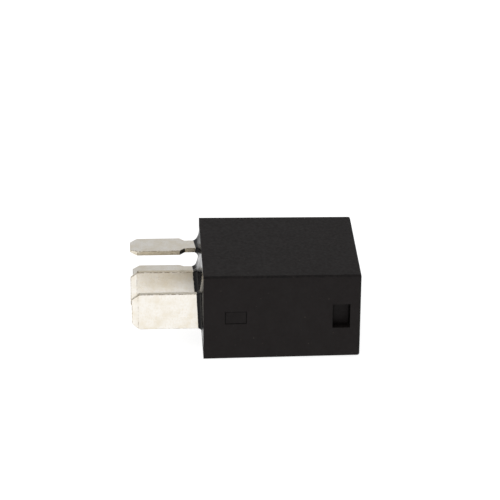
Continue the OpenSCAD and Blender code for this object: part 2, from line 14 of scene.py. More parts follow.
import bmesh
import bpy
from mathutils import Matrix, Vector, noise
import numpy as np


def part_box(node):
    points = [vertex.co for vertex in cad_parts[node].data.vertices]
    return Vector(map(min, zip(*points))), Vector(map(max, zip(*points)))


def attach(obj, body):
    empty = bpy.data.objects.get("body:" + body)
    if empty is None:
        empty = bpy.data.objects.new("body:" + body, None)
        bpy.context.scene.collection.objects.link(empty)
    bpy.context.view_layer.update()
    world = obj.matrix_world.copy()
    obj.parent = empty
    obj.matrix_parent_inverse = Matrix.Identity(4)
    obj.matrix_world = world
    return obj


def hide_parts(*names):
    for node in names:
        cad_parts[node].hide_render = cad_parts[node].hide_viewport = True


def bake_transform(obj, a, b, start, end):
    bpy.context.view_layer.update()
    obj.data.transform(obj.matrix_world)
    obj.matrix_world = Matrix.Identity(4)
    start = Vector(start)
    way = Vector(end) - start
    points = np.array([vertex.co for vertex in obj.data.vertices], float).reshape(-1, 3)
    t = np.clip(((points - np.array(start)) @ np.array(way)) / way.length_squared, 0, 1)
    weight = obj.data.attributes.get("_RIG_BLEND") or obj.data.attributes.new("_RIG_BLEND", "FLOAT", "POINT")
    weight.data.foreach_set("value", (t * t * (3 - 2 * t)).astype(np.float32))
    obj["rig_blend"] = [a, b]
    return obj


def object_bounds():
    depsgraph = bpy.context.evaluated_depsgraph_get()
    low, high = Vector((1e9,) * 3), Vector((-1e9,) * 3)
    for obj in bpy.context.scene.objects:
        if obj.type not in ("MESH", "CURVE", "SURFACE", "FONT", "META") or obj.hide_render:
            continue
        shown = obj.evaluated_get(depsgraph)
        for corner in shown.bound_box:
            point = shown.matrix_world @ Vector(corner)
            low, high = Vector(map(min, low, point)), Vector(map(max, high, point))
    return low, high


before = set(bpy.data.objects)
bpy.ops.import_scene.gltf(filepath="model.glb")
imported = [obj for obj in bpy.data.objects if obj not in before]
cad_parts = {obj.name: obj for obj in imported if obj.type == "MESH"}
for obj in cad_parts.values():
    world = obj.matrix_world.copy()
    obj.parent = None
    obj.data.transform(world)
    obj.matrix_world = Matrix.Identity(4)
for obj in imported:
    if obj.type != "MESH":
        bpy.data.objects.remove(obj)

MM = 0.001
CLOSE = 1e-5  # points nearer than this are one point, in millimetres
LEVEL = 1e-3  # how far off a level a point on it may be
MARGIN = 0.1  # how far a search box reaches past the faces it looks for
LOG = logging.getLogger("relay")
Colour = tuple[float, float, float]
Point = tuple[float, float, float]
Range = tuple[float, float]

X_AXIS = Vector((1, 0, 0))
UPRIGHT = Matrix.Rotation(math.radians(90), 4, "X")
ALONG_Y = Matrix.Rotation(math.radians(90), 4, "Z")
ALONG_Z = Matrix.Rotation(math.radians(-90), 4, "Y")
ALONG_MINUS_Z = Matrix.Rotation(math.radians(90), 4, "Y")

BLADE_THICKNESS = 0.8
WIDE_BLADE = 6.3
NARROW_BLADE = 4.8
CENTRE_NECK = 3.7
COIL_NECK = 3.0


def box_numbers(corners: Iterable[Iterable[float]]) -> list[list[float]]:
    """Turns a box's two corners into plain lists.

    Args:
        corners: The lowest and the highest corner.

    Returns:
        The same corners as lists of numbers.
    """
    return [[float(value) for value in corner] for corner in corners]


CAD_BOX = box_numbers(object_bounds())


@dataclass(frozen=True)
class Span:
    """The box of one node of the frame, in millimetres."""

    low: Vector
    high: Vector

    @classmethod
    def of(cls, node: str) -> "Span":
        """Reads a node's box from the frame."""
        low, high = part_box(node)
        return cls(Vector(low) / MM, Vector(high) / MM)

    @property
    def middle(self) -> Vector:
        """The box's centre."""
        return (self.low + self.high) / 2

    @property
    def size(self) -> Vector:
        """The box's three sizes."""
        return self.high - self.low


class Body(Enum):
    """The rigid bodies that a piece can ride on; a piece that bends is between two."""

    HOUSING = "housing"
    ARMATURE = "armature_set"
    BETWEEN = ""


class Axis(Enum):
    """The three axes, as indices into a vector."""

    X = 0
    Y = 1
    Z = 2


# ---------------------------------------------------------------- finishes


class Shader:
    """A node material while it is being put together."""

    def __init__(self, name: str) -> None:
        """Starts an empty material with a Principled shader.

        Args:
            name: The finish's name.
        """
        self.material = bpy.data.materials.new(f"{name}_finish")
        self.material.use_nodes = True
        self.tree = self.material.node_tree
        self.surface = self.tree.nodes["Principled BSDF"]
        coords = self.node("ShaderNodeTexCoord")
        scale = self.node("ShaderNodeVectorMath", operation="SCALE")
        self.link(coords.outputs["Object"], scale.inputs[0])
        scale.inputs["Scale"].default_value = 1 / MM
        self.millimetres = scale.outputs["Vector"]

    def node(self, kind: str, **settings: object) -> bpy.types.Node:
        """Adds a node and sets its own properties.

        Args:
            kind: The node's type.
            **settings: The node's properties by name.

        Returns:
            The new node.
        """
        made = self.tree.nodes.new(kind)
        for name, value in settings.items():
            setattr(made, name, value)
        return made

    def link(self, start: bpy.types.NodeSocket, end: bpy.types.NodeSocket) -> None:
        """Joins two sockets."""
        self.tree.links.new(start, end)

    def put(self, **values: object) -> None:
        """Sets sockets of the Principled shader.

        Args:
            **values: Numbers or colours by socket name, with underscores for spaces.
        """
        for name, value in values.items():
            socket = self.surface.inputs[name.replace("_", " ")]
            is_colour = isinstance(value, tuple) and len(value) == 3
            socket.default_value = (*value, 1.0) if is_colour else value

    def noise(
        self,
        scale: float,
        detail: float = 3.0,
        stretch: Point = (1, 1, 1),
        roughness: float = 0.5,
    ) -> bpy.types.NodeSocket:
        """Noise on the piece's own coordinates.

        Args:
            scale: Cells per millimetre.
            detail: Octaves of finer noise.
            stretch: Factor on each axis; under 1 draws the noise out.
            roughness: Weight of the finer octaves.

        Returns:
            The noise's factor.
        """
        mapping = self.node("ShaderNodeMapping")
        mapping.inputs["Scale"].default_value = stretch
        self.link(self.millimetres, mapping.inputs["Vector"])
        texture = self.node("ShaderNodeTexNoise")
        texture.inputs["Scale"].default_value = scale
        texture.inputs["Detail"].default_value = detail
        texture.inputs["Roughness"].default_value = roughness
        self.link(mapping.outputs["Vector"], texture.inputs["Vector"])
        return texture.outputs["Fac"]

    def spread(
        self,
        value: bpy.types.NodeSocket,
        low: float,
        high: float,
        start: float = 0.3,
        end: float = 0.7,
    ) -> bpy.types.NodeSocket:
        """Maps part of a factor's range onto another range, clamped.

        Args:
            value: The factor.
            low: What the start of the part becomes.
            high: What its end becomes.
            start: Where the part starts.
            end: Where it ends.

        Returns:
            The new factor.
        """
        made = self.node("ShaderNodeMapRange")
        settings = {"From Min": start, "From Max": end, "To Min": low, "To Max": high}
        for name, number in settings.items():
            made.inputs[name].default_value = number
        self.link(value, made.inputs["Value"])
        return made.outputs["Result"]

    def blend(
        self, factor: bpy.types.NodeSocket, first: object, second: object
    ) -> bpy.types.NodeSocket:
        """Mixes two colours, each a colour or a socket.

        Args:
            factor: The second colour's share.
            first: The first colour.
            second: The second colour.

        Returns:
            The mixed colour.
        """
        made = self.node("ShaderNodeMix", data_type="RGBA")
        self.link(factor, made.inputs["Factor"])
        for socket, colour in ((made.inputs[6], first), (made.inputs[7], second)):
            if isinstance(colour, tuple):
                socket.default_value = (*colour, 1.0)
            else:
                self.link(colour, socket)
        return made.outputs[2]

    def product(
        self, first: bpy.types.NodeSocket, second: bpy.types.NodeSocket
    ) -> bpy.types.NodeSocket:
        """Multiplies two factors.

        Args:
            first: One factor.
            second: The other.

        Returns:
            Their product.
        """
        made = self.node("ShaderNodeMath", operation="MULTIPLY")
        self.link(first, made.inputs[0])
        self.link(second, made.inputs[1])
        return made.outputs["Value"]

    def face_value(self, name: str) -> bpy.types.NodeSocket:
        """Reads a number that the mesh holds on its faces."""
        made = self.node("ShaderNodeAttribute", attribute_name=name)
        return made.outputs["Fac"]

    def bump(
        self,
        height: bpy.types.NodeSocket,
        depth: float,
        strength: float = 1.0,
        under: Optional[bpy.types.NodeSocket] = None,
    ) -> bpy.types.NodeSocket:
        """Adds relief to a surface.

        Args:
            height: The relief's factor.
            depth: Its depth in millimetres.
            strength: How much of it shows.
            under: Another relief that it lies on.

        Returns:
            The relief's normals.
        """
        made = self.node("ShaderNodeBump")
        made.inputs["Distance"].default_value = depth * MM
        made.inputs["Strength"].default_value = strength
        self.link(height, made.inputs["Height"])
        if under:
            self.link(under, made.inputs["Normal"])
        return made.outputs["Normal"]

    def wire(self, **sockets: bpy.types.NodeSocket) -> bpy.types.Material:
        """Links sockets to the Principled shader.

        Args:
            **sockets: What feeds each socket, with underscores for spaces.

        Returns:
            The finished material.
        """
        for name, socket in sockets.items():
            self.link(socket, self.surface.inputs[name.replace("_", " ")])
        return self.material


@dataclass(frozen=True)
class MouldedPlastic:
    """Opaque moulded plastic with a fine spark-eroded grain."""

    name: str
    dark: Colour
    light: Colour
    rough_low: float = 0.5
    rough_high: float = 0.66
    specular: float = 0.3
    grain_per_mm: float = 9.0
    grain_depth: float = 0.004
    flow_depth: float = 0.014
    edge_lift: float = 0.45
    subsurface: float = 0.0
    dust: Optional[Colour] = None

    def build(self) -> bpy.types.Material:
        """Makes the material: blotches, grain, flow waves, rounded edges lighter as wear (positive lift) or
        darker as a painted dark reflection (negative lift), and dust.

        Returns:
            The finished material.
        """
        shader = Shader(self.name)
        shader.put(Specular_IOR_Level=self.specular, Subsurface_Weight=self.subsurface)
        if self.subsurface:
            shader.put(Subsurface_Scale=0.4 * MM)
        blotch = shader.spread(shader.noise(0.35, detail=4.0), 0.0, 1.0)
        colour = shader.blend(blotch, self.dark, self.light)
        patches = shader.spread(shader.noise(1.6, detail=5.0), 0.0, 1.0, start=0.42, end=0.6)
        # Rounded edges: a positive lift makes them lighter, as wear; a negative lift makes them darker, a
        # painted dark reflection along the edge.
        edge_wear_and_shade_mask = shader.product(shader.face_value("edge"), patches)
        edge_wear_and_shade_colour = tuple(min(1.0, part * (1 + 3 * self.edge_lift)) for part in self.light)
        colour = shader.blend(edge_wear_and_shade_mask, colour, edge_wear_and_shade_colour)
        if self.dust:
            speck = shader.spread(shader.noise(3.0, detail=2.0), 0.0, 0.7, start=0.755, end=0.785)
            colour = shader.blend(speck, colour, self.dust)
        rough = shader.spread(shader.noise(2.2, detail=4.0), self.rough_low, self.rough_high)
        flow = shader.bump(shader.noise(0.7, detail=2.0, stretch=(0.15, 1, 1)), self.flow_depth)
        pores = shader.noise(self.grain_per_mm, detail=2.0)
        grain = shader.bump(pores, self.grain_depth, under=flow)
        return shader.wire(Base_Color=colour, Roughness=rough, Normal=grain)


@dataclass(frozen=True)
class PottingResin:
    """Cured black potting resin: glossy, with slight waves and dust."""

    name: str
    colour: Colour
    dusty: Colour

    def build(self) -> bpy.types.Material:
        """Makes the material.

        Returns:
            The finished material.
        """
        shader = Shader(self.name)
        shader.put(IOR=1.5, Specular_IOR_Level=0.13)
        settled = shader.noise(3.0, detail=6.0, roughness=0.7)
        dust = shader.spread(settled, 0.0, 0.35, start=0.5, end=0.75)
        colour = shader.blend(dust, self.colour, self.dusty)
        rough = shader.spread(shader.noise(1.2, detail=5.0), 0.05, 0.16)
        waves = shader.bump(shader.noise(0.9, detail=2.0), 0.05)
        pits = shader.bump(shader.noise(7.0, detail=2.0), 0.006, under=waves)
        return shader.wire(Base_Color=colour, Roughness=rough, Normal=pits)


@dataclass(frozen=True)
class SheetMetal:
    """Rolled and plated sheet with drawn-out rolling marks and sheared edges."""

    name: str
    colour: Colour
    stain: Colour
    sheared: Colour
    rough_low: float = 0.26
    rough_high: float = 0.4
    rolled: Point = (0.12, 2.0, 2.0)
    rolling_depth: float = 0.004
    ripple_depth: float = 0.02
    # Dark colour of the painted shade along the rounded edges and the coin line.
    outline: Colour = (0.16, 0.10, 0.045)
    metallic: float = 1.0

    def build(self) -> bpy.types.Material:
        """Makes the material: stains (on the tin, painted warm reflection between the blades), rolling
        marks, sheared faces and a painted dark line of shade on the rounded edges.

        Returns:
            The finished material.
        """
        shader = Shader(self.name)
        shader.put(Metallic=self.metallic)
        # Clouds and flecks of the stain colour; on the tin this warm tint is painted reflection, the light
        # that the blades throw on each other.
        clouds = shader.noise(0.45, detail=5.0, roughness=0.6)
        stain_and_reflection_share = shader.spread(clouds, 0.0, 0.8, start=0.42, end=0.7)
        colour = shader.blend(stain_and_reflection_share, self.colour, self.stain)
        spots = shader.noise(3.5, detail=4.0, stretch=(1, 0.6, 0.6), roughness=0.7)
        fleck = shader.spread(spots, 0.0, 0.55, start=0.5, end=0.68)
        colour = shader.blend(fleck, colour, self.stain)
        tear = shader.spread(shader.noise(1.4, detail=5.0), 0.35, 1.0)
        torn = shader.product(shader.face_value("cut"), tear)
        colour = shader.blend(torn, colour, self.sheared)
        # Painted shade: a dark line laid in patches on the rounded edges and the coin line.
        edge_shade_patches = shader.spread(shader.noise(2.4, detail=5.0), 0.1, 0.9, start=0.4, end=0.58)
        picked_edges = shader.product(shader.face_value("edge"), edge_shade_patches)
        colour = shader.blend(picked_edges, colour, self.outline)
        streaks = shader.noise(3.2, detail=4.0, stretch=self.rolled, roughness=0.65)
        rough = shader.spread(streaks, self.rough_low, self.rough_high)
        ripple = shader.bump(shader.noise(0.55, detail=2.0), self.ripple_depth)
        rolling = shader.bump(streaks, self.rolling_depth, under=ripple)
        speckle = shader.bump(shader.noise(11.0, detail=3.0), 0.002, under=rolling)
        return shader.wire(Base_Color=colour, Roughness=rough, Normal=speckle)


@dataclass(frozen=True)
class EnamelWire:
    """Enamelled copper wire: metal under a clear, slightly uneven lacquer."""

    name: str
    copper: Colour
    lacquer: Colour

    def build(self) -> bpy.types.Material:
        """Makes the material.

        Returns:
            The finished material.
        """
        shader = Shader(self.name)
        shader.put(Metallic=0.85, Coat_Weight=0.8, Coat_Roughness=0.12, Coat_Tint=(1.0, 0.8, 0.62))
        tone = shader.spread(shader.noise(0.8, detail=4.0, stretch=(1, 0.3, 0.3)), 0.0, 1.0)
        colour = shader.blend(tone, self.copper, self.lacquer)
        rough = shader.spread(shader.noise(3.0, detail=3.0), 0.22, 0.38)
        skin = shader.bump(shader.noise(5.0, detail=2.0), 0.004)
        return shader.wire(Base_Color=colour, Roughness=rough, Normal=skin)


@dataclass(frozen=True)
class FilmTape:
    """Amber film tape with glossy wrinkles over the wire below."""

    name: str
    pale: Colour
    deep: Colour

    def build(self) -> bpy.types.Material:
        """Makes the material.

        Returns:
            The finished material.
        """
        shader = Shader(self.name)
        shader.put(Coat_Weight=0.7, Coat_Roughness=0.08, Transmission_Weight=0.15)
        bands = shader.noise(1.8, detail=3.0, stretch=(2.2, 0.25, 0.25))
        colour = shader.blend(shader.spread(bands, 0.0, 1.0), self.deep, self.pale)
        rough = shader.spread(shader.noise(1.0, detail=3.0), 0.2, 0.34)
        wrinkle = shader.bump(bands, 0.03)
        return shader.wire(Base_Color=colour, Roughness=rough, Normal=wrinkle)


@dataclass(frozen=True)
class ContactMetal:
    """Silver alloy faces with fine turning marks and a grey burnt patch."""

    name: str
    silver: Colour
    burnt: Colour
    rough_low: float = 0.2
    rough_high: float = 0.42

    def build(self) -> bpy.types.Material:
        """Makes the material.

        Returns:
            The finished material.
        """
        shader = Shader(self.name)
        shader.put(Metallic=1.0)
        clouds = shader.noise(1.3, detail=5.0, roughness=0.65)
        patch = shader.spread(clouds, 0.0, 0.8, start=0.48, end=0.7)
        colour = shader.blend(patch, self.silver, self.burnt)
        rough = shader.spread(shader.noise(4.0, detail=4.0), self.rough_low, self.rough_high)
        relief = shader.bump(shader.noise(9.0, detail=3.0), 0.006)
        return shader.wire(Base_Color=colour, Roughness=rough, Normal=relief)


@dataclass(frozen=True)
class BandedLacquer:
    """A resistor's lacquer with plain colour bands along its length."""

    name: str
    lacquer: Colour
    bands: tuple[Colour, ...]
    length: float
    band_width: float = 0.42
    pitch: float = 0.85

    def build(self) -> bpy.types.Material:
        """Makes the material: one ramp along Z holds every band.

        Returns:
            The finished material.
        """
        shader = Shader(self.name)
        shader.put(Coat_Weight=0.6, Coat_Roughness=0.1, IOR=1.5)
        parts = shader.node("ShaderNodeSeparateXYZ")
        shader.link(shader.millimetres, parts.inputs["Vector"])
        half = self.length / 2
        along = shader.spread(parts.outputs["Z"], 0.0, 1.0, start=-half, end=half)
        ramp = shader.node("ShaderNodeValToRGB")
        ramp.color_ramp.interpolation = "CONSTANT"
        ramp.color_ramp.elements[0].color = (*self.lacquer, 1.0)
        ramp.color_ramp.elements.remove(ramp.color_ramp.elements[1])
        first = (self.length - self.pitch * (len(self.bands) - 1)) / 2
        for index, band in enumerate(self.bands):
            start = (first + index * self.pitch - self.band_width / 2) / self.length
            end = start + self.band_width / self.length
            for place, colour in ((start, band), (end, self.lacquer)):
                ramp.color_ramp.elements.new(place).color = (*colour, 1.0)
        shader.link(along, ramp.inputs["Fac"])
        tone = shader.spread(shader.noise(2.5, detail=4.0), 0.0, 0.12)
        colour = shader.blend(tone, ramp.outputs["Color"], (0.9, 0.9, 0.85))
        rough = shader.spread(shader.noise(3.0, detail=3.0), 0.24, 0.4)
        skin = shader.bump(shader.noise(3.5, detail=2.0), 0.01)
        return shader.wire(Base_Color=colour, Roughness=rough, Normal=skin)


@dataclass(frozen=True)
class StudioFloor:
    """The plain pale floor: white, even, and lit a little from within."""

    name: str
    colour: Colour
    glow: float

    def build(self) -> bpy.types.Material:
        """Makes the material.

        Returns:
            The finished material.
        """
        shader = Shader(self.name)
        shader.put(Roughness=1.0, Specular_IOR_Level=0.0)
        shader.put(Emission_Color=(1.0, 1.0, 1.0), Emission_Strength=self.glow)
        tone = shader.spread(shader.noise(0.02, detail=2.0), 0.0, 0.05)
        colour = shader.blend(tone, self.colour, (0.5, 0.5, 0.5))
        return shader.wire(Base_Color=colour)


class Finish(Enum):
    """Every finish of the relay, each built once when first asked for."""

    # The cover's negative edge lift darkens its rounded edges: painted dark reflection along them, not wear.
    COVER = MouldedPlastic(
        "cover_plastic",
        dark=(0.0078, 0.0056, 0.0054),
        light=(0.0100, 0.0078, 0.0076),
        specular=0.14,
        edge_lift=-0.2,
        dust=(0.10, 0.085, 0.07),
    )
    BASE = MouldedPlastic(
        "base_plastic",
        dark=(0.0076, 0.0058, 0.0056),
        light=(0.0098, 0.0080, 0.0078),
        specular=0.12,
    )
    BOBBIN = MouldedPlastic(
        "bobbin_plastic",
        dark=(0.60, 0.56, 0.45),
        light=(0.70, 0.66, 0.56),
        specular=0.5,
        subsurface=0.25,
        edge_lift=0.05,
    )
    RESIN = PottingResin("sealing_resin", (0.003, 0.003, 0.0035), (0.016, 0.016, 0.017))
    # The tin's warmer, darker stain colour is painted reflection: the warm light between the blades, laid on
    # in clouds.
    TIN = SheetMetal(
        "tinned_brass", (0.87, 0.84, 0.785), (0.76, 0.69, 0.56), (0.65, 0.59, 0.47)
    )
    IRON = SheetMetal(
        "plated_iron",
        (0.52, 0.50, 0.45),
        (0.40, 0.38, 0.34),
        (0.36, 0.35, 0.34),
        rough_low=0.32,
        rough_high=0.5,
    )
    BRONZE = SheetMetal(
        "spring_bronze",
        (0.72, 0.47, 0.26),
        (0.55, 0.34, 0.19),
        (0.70, 0.48, 0.30),
        rough_low=0.24,
        rough_high=0.36,
    )
    RIVET = ContactMetal("rivet_steel", (0.56, 0.55, 0.52), (0.40, 0.39, 0.37))
    SILVER = ContactMetal("contact_silver", (0.86, 0.84, 0.79), (0.42, 0.39, 0.36))
    COPPER = EnamelWire("enamelled_copper", (0.62, 0.22, 0.09), (0.42, 0.13, 0.045))
    TAPE = FilmTape("coil_tape", (0.62, 0.40, 0.07), (0.38, 0.20, 0.03))
    LEAD = ContactMetal("tinned_copper", (0.70, 0.69, 0.66), (0.55, 0.53, 0.50))
    SOLDER = ContactMetal(
        "solder", (0.66, 0.66, 0.66), (0.50, 0.50, 0.50), rough_low=0.12, rough_high=0.3
    )
    RESISTOR = BandedLacquer(
        "resistor_coat",
        (0.24, 0.45, 0.52),
        bands=((0.02, 0.08, 0.5), (0.15, 0.15, 0.15), (0.2, 0.07, 0.02), (0.55, 0.38, 0.08)),
        length=5.6,
    )
    FLOOR = StudioFloor("studio_floor", (0.4, 0.4, 0.4), glow=0.84)

    @property
    def slot(self) -> str:
        """The record's material slot of the same name."""
        return self.value.name

    @property
    def material(self) -> bpy.types.Material:
        """The built material."""
        return bpy.data.materials.get(f"{self.slot}_finish") or self.value.build()


# ------------------------------------------------------------ mesh methods


def cut(bm: bmesh.types.BMesh, axis: Axis, level: float) -> None:
    """Cuts the whole mesh by a plane across an axis.

    Args:
        bm: The mesh, in millimetres.
        axis: The plane's normal.
        level: Where the plane crosses that axis.
    """
    normal = Vector((0, 0, 0))
    normal[axis.value] = 1
    bmesh.ops.bisect_plane(
        bm,
        geom=bm.verts[:] + bm.edges[:] + bm.faces[:],
        dist=CLOSE,
        plane_co=normal * level,
        plane_no=normal,
    )


def faces_towards(
    bm: bmesh.types.BMesh, direction: Vector, low: Vector, high: Vector
) -> list[bmesh.types.BMFace]:
    """Finds the faces that look one way and have their centres in a box.

    Args:
        bm: The mesh, in millimetres.
        direction: The way that the faces look.
        low: The box's lowest corner.
        high: The box's highest corner.

    Returns:
        The faces found.
    """
    aligned = 0.99
    bm.normal_update()
    found = []
    for face in bm.faces:
        centre = face.calc_center_median()
        inside = all(low[i] <= centre[i] <= high[i] for i in range(3))
        if inside and face.normal.dot(direction) > aligned:
            found.append(face)
    return found


def extrude_faces(
    bm: bmesh.types.BMesh, faces: list[bmesh.types.BMFace], axis: Axis, to: float
) -> None:
    """Extrudes faces to a level on one axis and leaves nothing under them.

    Args:
        bm: The mesh, in millimetres.
        faces: The faces.
        axis: The axis that they move along.
        to: The level that they are taken to.
    """
    extruded = bmesh.ops.extrude_face_region(bm, geom=faces)["geom"]
    for vertex in extruded:
        if isinstance(vertex, bmesh.types.BMVert):
            vertex.co[axis.value] = to
    stale = [face for face in faces if face.is_valid]
    bmesh.ops.delete(bm, geom=stale, context="FACES")


def grow(
    bm: bmesh.types.BMesh, axis: Axis, levels: Range, first: Range, second: Range
) -> None:
    """Extrudes part of a mesh's flat face outwards, as a fold of sheet.

    Args:
        bm: The mesh, in millimetres.
        axis: The axis that the face looks along.
        levels: The face's level on that axis and the level that it is taken to.
        first: The part's range on the first of the two other axes.
        second: Its range on the second.
    """
    level, to = levels
    others = [other for other in Axis if other is not axis]
    ranges = {axis: (level - MARGIN, level + MARGIN), others[0]: first, others[1]: second}
    for other in others:
        for limit in ranges[other]:
            cut(bm, other, limit)
    direction = Vector((0, 0, 0))
    direction[axis.value] = 1 if to > level else -1
    low, high = (Vector([ranges[each][end] for each in Axis]) for end in (0, 1))
    extrude_faces(bm, faces_towards(bm, direction, low, high), axis, to)


def join_flat_faces(bm: bmesh.types.BMesh) -> None:
    """Joins neighbouring faces that lie in one plane.

    Args:
        bm: The mesh, in millimetres.
    """
    bmesh.ops.dissolve_limit(
        bm, angle_limit=math.radians(0.6), verts=bm.verts, edges=bm.edges, delimit={"NORMAL"}
    )


def soften(
    bm: bmesh.types.BMesh,
    radius: float,
    segments: int = 2,
    sharper_than: float = 50.0,
    wanted: Callable[[bmesh.types.BMEdge], bool] = lambda edge: True,
    join: bool = True,
) -> None:
    """Rounds the sharp edges of a mesh and marks the rounded faces.

    Args:
        bm: The mesh, in millimetres.
        radius: The rounding.
        segments: Faces across the rounding.
        sharper_than: The least angle of an edge that is rounded, in degrees.
        wanted: A test that an edge must also pass.
        join: Whether flat neighbours are joined first.
    """
    layer = bm.faces.layers.float.get("edge") or bm.faces.layers.float.new("edge")
    if join:
        join_flat_faces(bm)
    bm.normal_update()
    least = math.radians(sharper_than)
    sharp = [e for e in bm.edges if e.is_manifold and e.calc_face_angle(0) > least and wanted(e)]
    made = bmesh.ops.bevel(
        bm,
        geom=sharp,
        offset=radius,
        offset_type="OFFSET",
        segments=segments,
        profile=0.5,
        affect="EDGES",
        clamp_overlap=True,
        material=-1,
    )
    for face in made["faces"]:
        face[layer] = 1.0


def mark_cut_faces(bm: bmesh.types.BMesh, thickness: float) -> None:
    """Marks the faces of a stamped sheet that the die has sheared.

    Args:
        bm: The mesh, in millimetres.
        thickness: The sheet's thickness, which no sheared face is wider than.
    """
    layer = bm.faces.layers.float.get("cut") or bm.faces.layers.float.new("cut")
    slack = 1.02
    limit = thickness * slack
    for face in bm.faces:
        flat = max(range(3), key=lambda i: abs(face.normal[i]))
        places = [[vertex.co[i] for vertex in face.verts] for i in range(3) if i != flat]
        narrowest = min(max(along) - min(along) for along in places)
        face[layer] = 1.0 if narrowest <= limit else 0.0


def spin(
    bm: bmesh.types.BMesh, geometry: Sequence[object], angle: float, steps: int
) -> None:
    """Spins part of a mesh about the X axis.

    Args:
        bm: The mesh, in millimetres.
        geometry: The vertices, edges and faces that are spun.
        angle: How far they turn; a full turn is closed.
        steps: Faces round the axis.
    """
    bmesh.ops.spin(
        bm,
        geom=geometry,
        cent=(0, 0, 0),
        axis=X_AXIS,
        dvec=(0, 0, 0),
        angle=angle,
        steps=steps,
        use_merge=angle >= math.tau,
        use_normal_flip=False,
        use_duplicate=False,
    )


def lathe(
    bm: bmesh.types.BMesh,
    profile: Sequence[tuple[float, float]],
    place: Matrix,
    steps: int = 48,
    closed: bool = False,
) -> list[bmesh.types.BMVert]:
    """Spins a profile about the X axis and puts the solid in its place.

    Args:
        bm: The mesh that the solid joins, in millimetres.
        profile: Points as distance along the axis and radius.
        place: Takes the X axis to where the solid belongs.
        steps: Faces round the axis.
        closed: Whether the profile is a ring that never meets the axis.

    Returns:
        The solid's vertices.
    """
    part = bmesh.new()
    line = [part.verts.new((along, radius, 0)) for along, radius in profile]
    pairs = list(zip(line, line[1:]))
    if closed:
        pairs.append((line[-1], line[0]))
    edges = [part.edges.new(pair) for pair in pairs]
    spin(part, line + edges, math.tau, steps)
    bmesh.ops.remove_doubles(part, verts=part.verts, dist=CLOSE)
    bmesh.ops.transform(part, matrix=place, verts=part.verts)
    return absorb(bm, part)


def absorb(bm: bmesh.types.BMesh, part: bmesh.types.BMesh) -> list[bmesh.types.BMVert]:
    """Moves everything in one mesh into another.

    Args:
        bm: The mesh that grows.
        part: The mesh that is used up.

    Returns:
        The vertices that were added.
    """
    carrier = bpy.data.meshes.new("carrier")
    bmesh.ops.recalc_face_normals(part, faces=part.faces)
    part.to_mesh(carrier)
    part.free()
    before = len(bm.verts)
    bm.from_mesh(carrier)
    bpy.data.meshes.remove(carrier)
    bm.verts.ensure_lookup_table()
    return bm.verts[before:]


def tube(bm: bmesh.types.BMesh, path: Sequence[Vector], radius: float, sides: int = 10) -> None:
    """Sweeps a round wire along a path and closes both ends.

    Args:
        bm: The mesh that the wire joins, in millimetres.
        path: The wire's middle line.
        radius: The wire's radius.
        sides: Faces round the wire.
    """
    part = bmesh.new()
    heading = (path[1] - path[0]).normalized()
    turn = X_AXIS.rotation_difference(heading).to_matrix().to_4x4()
    start = Matrix.Translation(path[0]) @ turn @ ALONG_Y.inverted() @ UPRIGHT
    bmesh.ops.create_circle(part, cap_ends=True, radius=radius, segments=sides, matrix=start)
    edges = part.edges[:]
    for index in range(1, len(path)):
        after = path[min(index + 1, len(path) - 1)] - path[index - 1]
        next_heading = after.normalized()
        grown = bmesh.ops.extrude_edge_only(part, edges=edges)["geom"]
        verts = [item for item in grown if isinstance(item, bmesh.types.BMVert)]
        edges = [item for item in grown if isinstance(item, bmesh.types.BMEdge)]
        edges = [edge for edge in edges if all(vertex in verts for vertex in edge.verts)]
        bend = heading.rotation_difference(next_heading).to_matrix().to_4x4()
        shift = Matrix.Translation(path[index]) @ bend @ Matrix.Translation(-path[index - 1])
        bmesh.ops.transform(part, matrix=shift, verts=verts)
        heading = next_heading
    bmesh.ops.edgenet_fill(part, edges=edges)
    absorb(bm, part)


def merged_copy(node: str) -> bmesh.types.BMesh:
    """Copies a node's mesh and joins its loose triangles.

    Args:
        node: The node of the frame.

    Returns:
        The copy, in millimetres.
    """
    touching = 1e-4
    bm = bmesh.new()
    bm.from_mesh(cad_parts[node].data)
    bmesh.ops.scale(bm, vec=Vector((1, 1, 1)) / MM, verts=bm.verts)
    bmesh.ops.remove_doubles(bm, verts=bm.verts, dist=touching)
    return bm


def finish_piece(
    bm: bmesh.types.BMesh,
    name: str,
    finish: Finish,
    body: Body = Body.HOUSING,
    nodes: Sequence[str] = (),
    smooth_below: float = 40.0,
) -> bpy.types.Object:
    """Makes a finished piece of a mesh, in metres, riding on its body.

    Args:
        bm: The mesh, in millimetres; it is used up.
        name: The piece's name.
        finish: Its finish.
        body: The body that it rides on.
        nodes: The nodes of the frame that it stands for; its own name if none.
        smooth_below: Edges under this angle are shaded smooth, in degrees.

    Returns:
        The piece's object.
    """
    bmesh.ops.remove_doubles(bm, verts=bm.verts, dist=CLOSE)
    bmesh.ops.recalc_face_normals(bm, faces=bm.faces)
    bmesh.ops.scale(bm, vec=Vector((MM, MM, MM)), verts=bm.verts)
    mesh = bpy.data.meshes.new(name)
    bm.to_mesh(mesh)
    bm.free()
    mesh.materials.append(finish.material)
    mesh.shade_smooth()
    mesh.set_sharp_from_angle(angle=math.radians(smooth_below))
    piece = bpy.data.objects.new(name, mesh)
    bpy.context.scene.collection.objects.link(piece)
    weighted = piece.modifiers.new("flat_faces", "WEIGHTED_NORMAL")
    weighted.keep_sharp = True
    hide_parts(*(nodes or (name.removesuffix("_look"),)))
    if body is not Body.BETWEEN:
        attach(piece, body.value)
    LOG.info("%s: %d faces, %s", name, len(mesh.polygons), finish.slot)
    return piece


# ------------------------------------------------------------- the outside


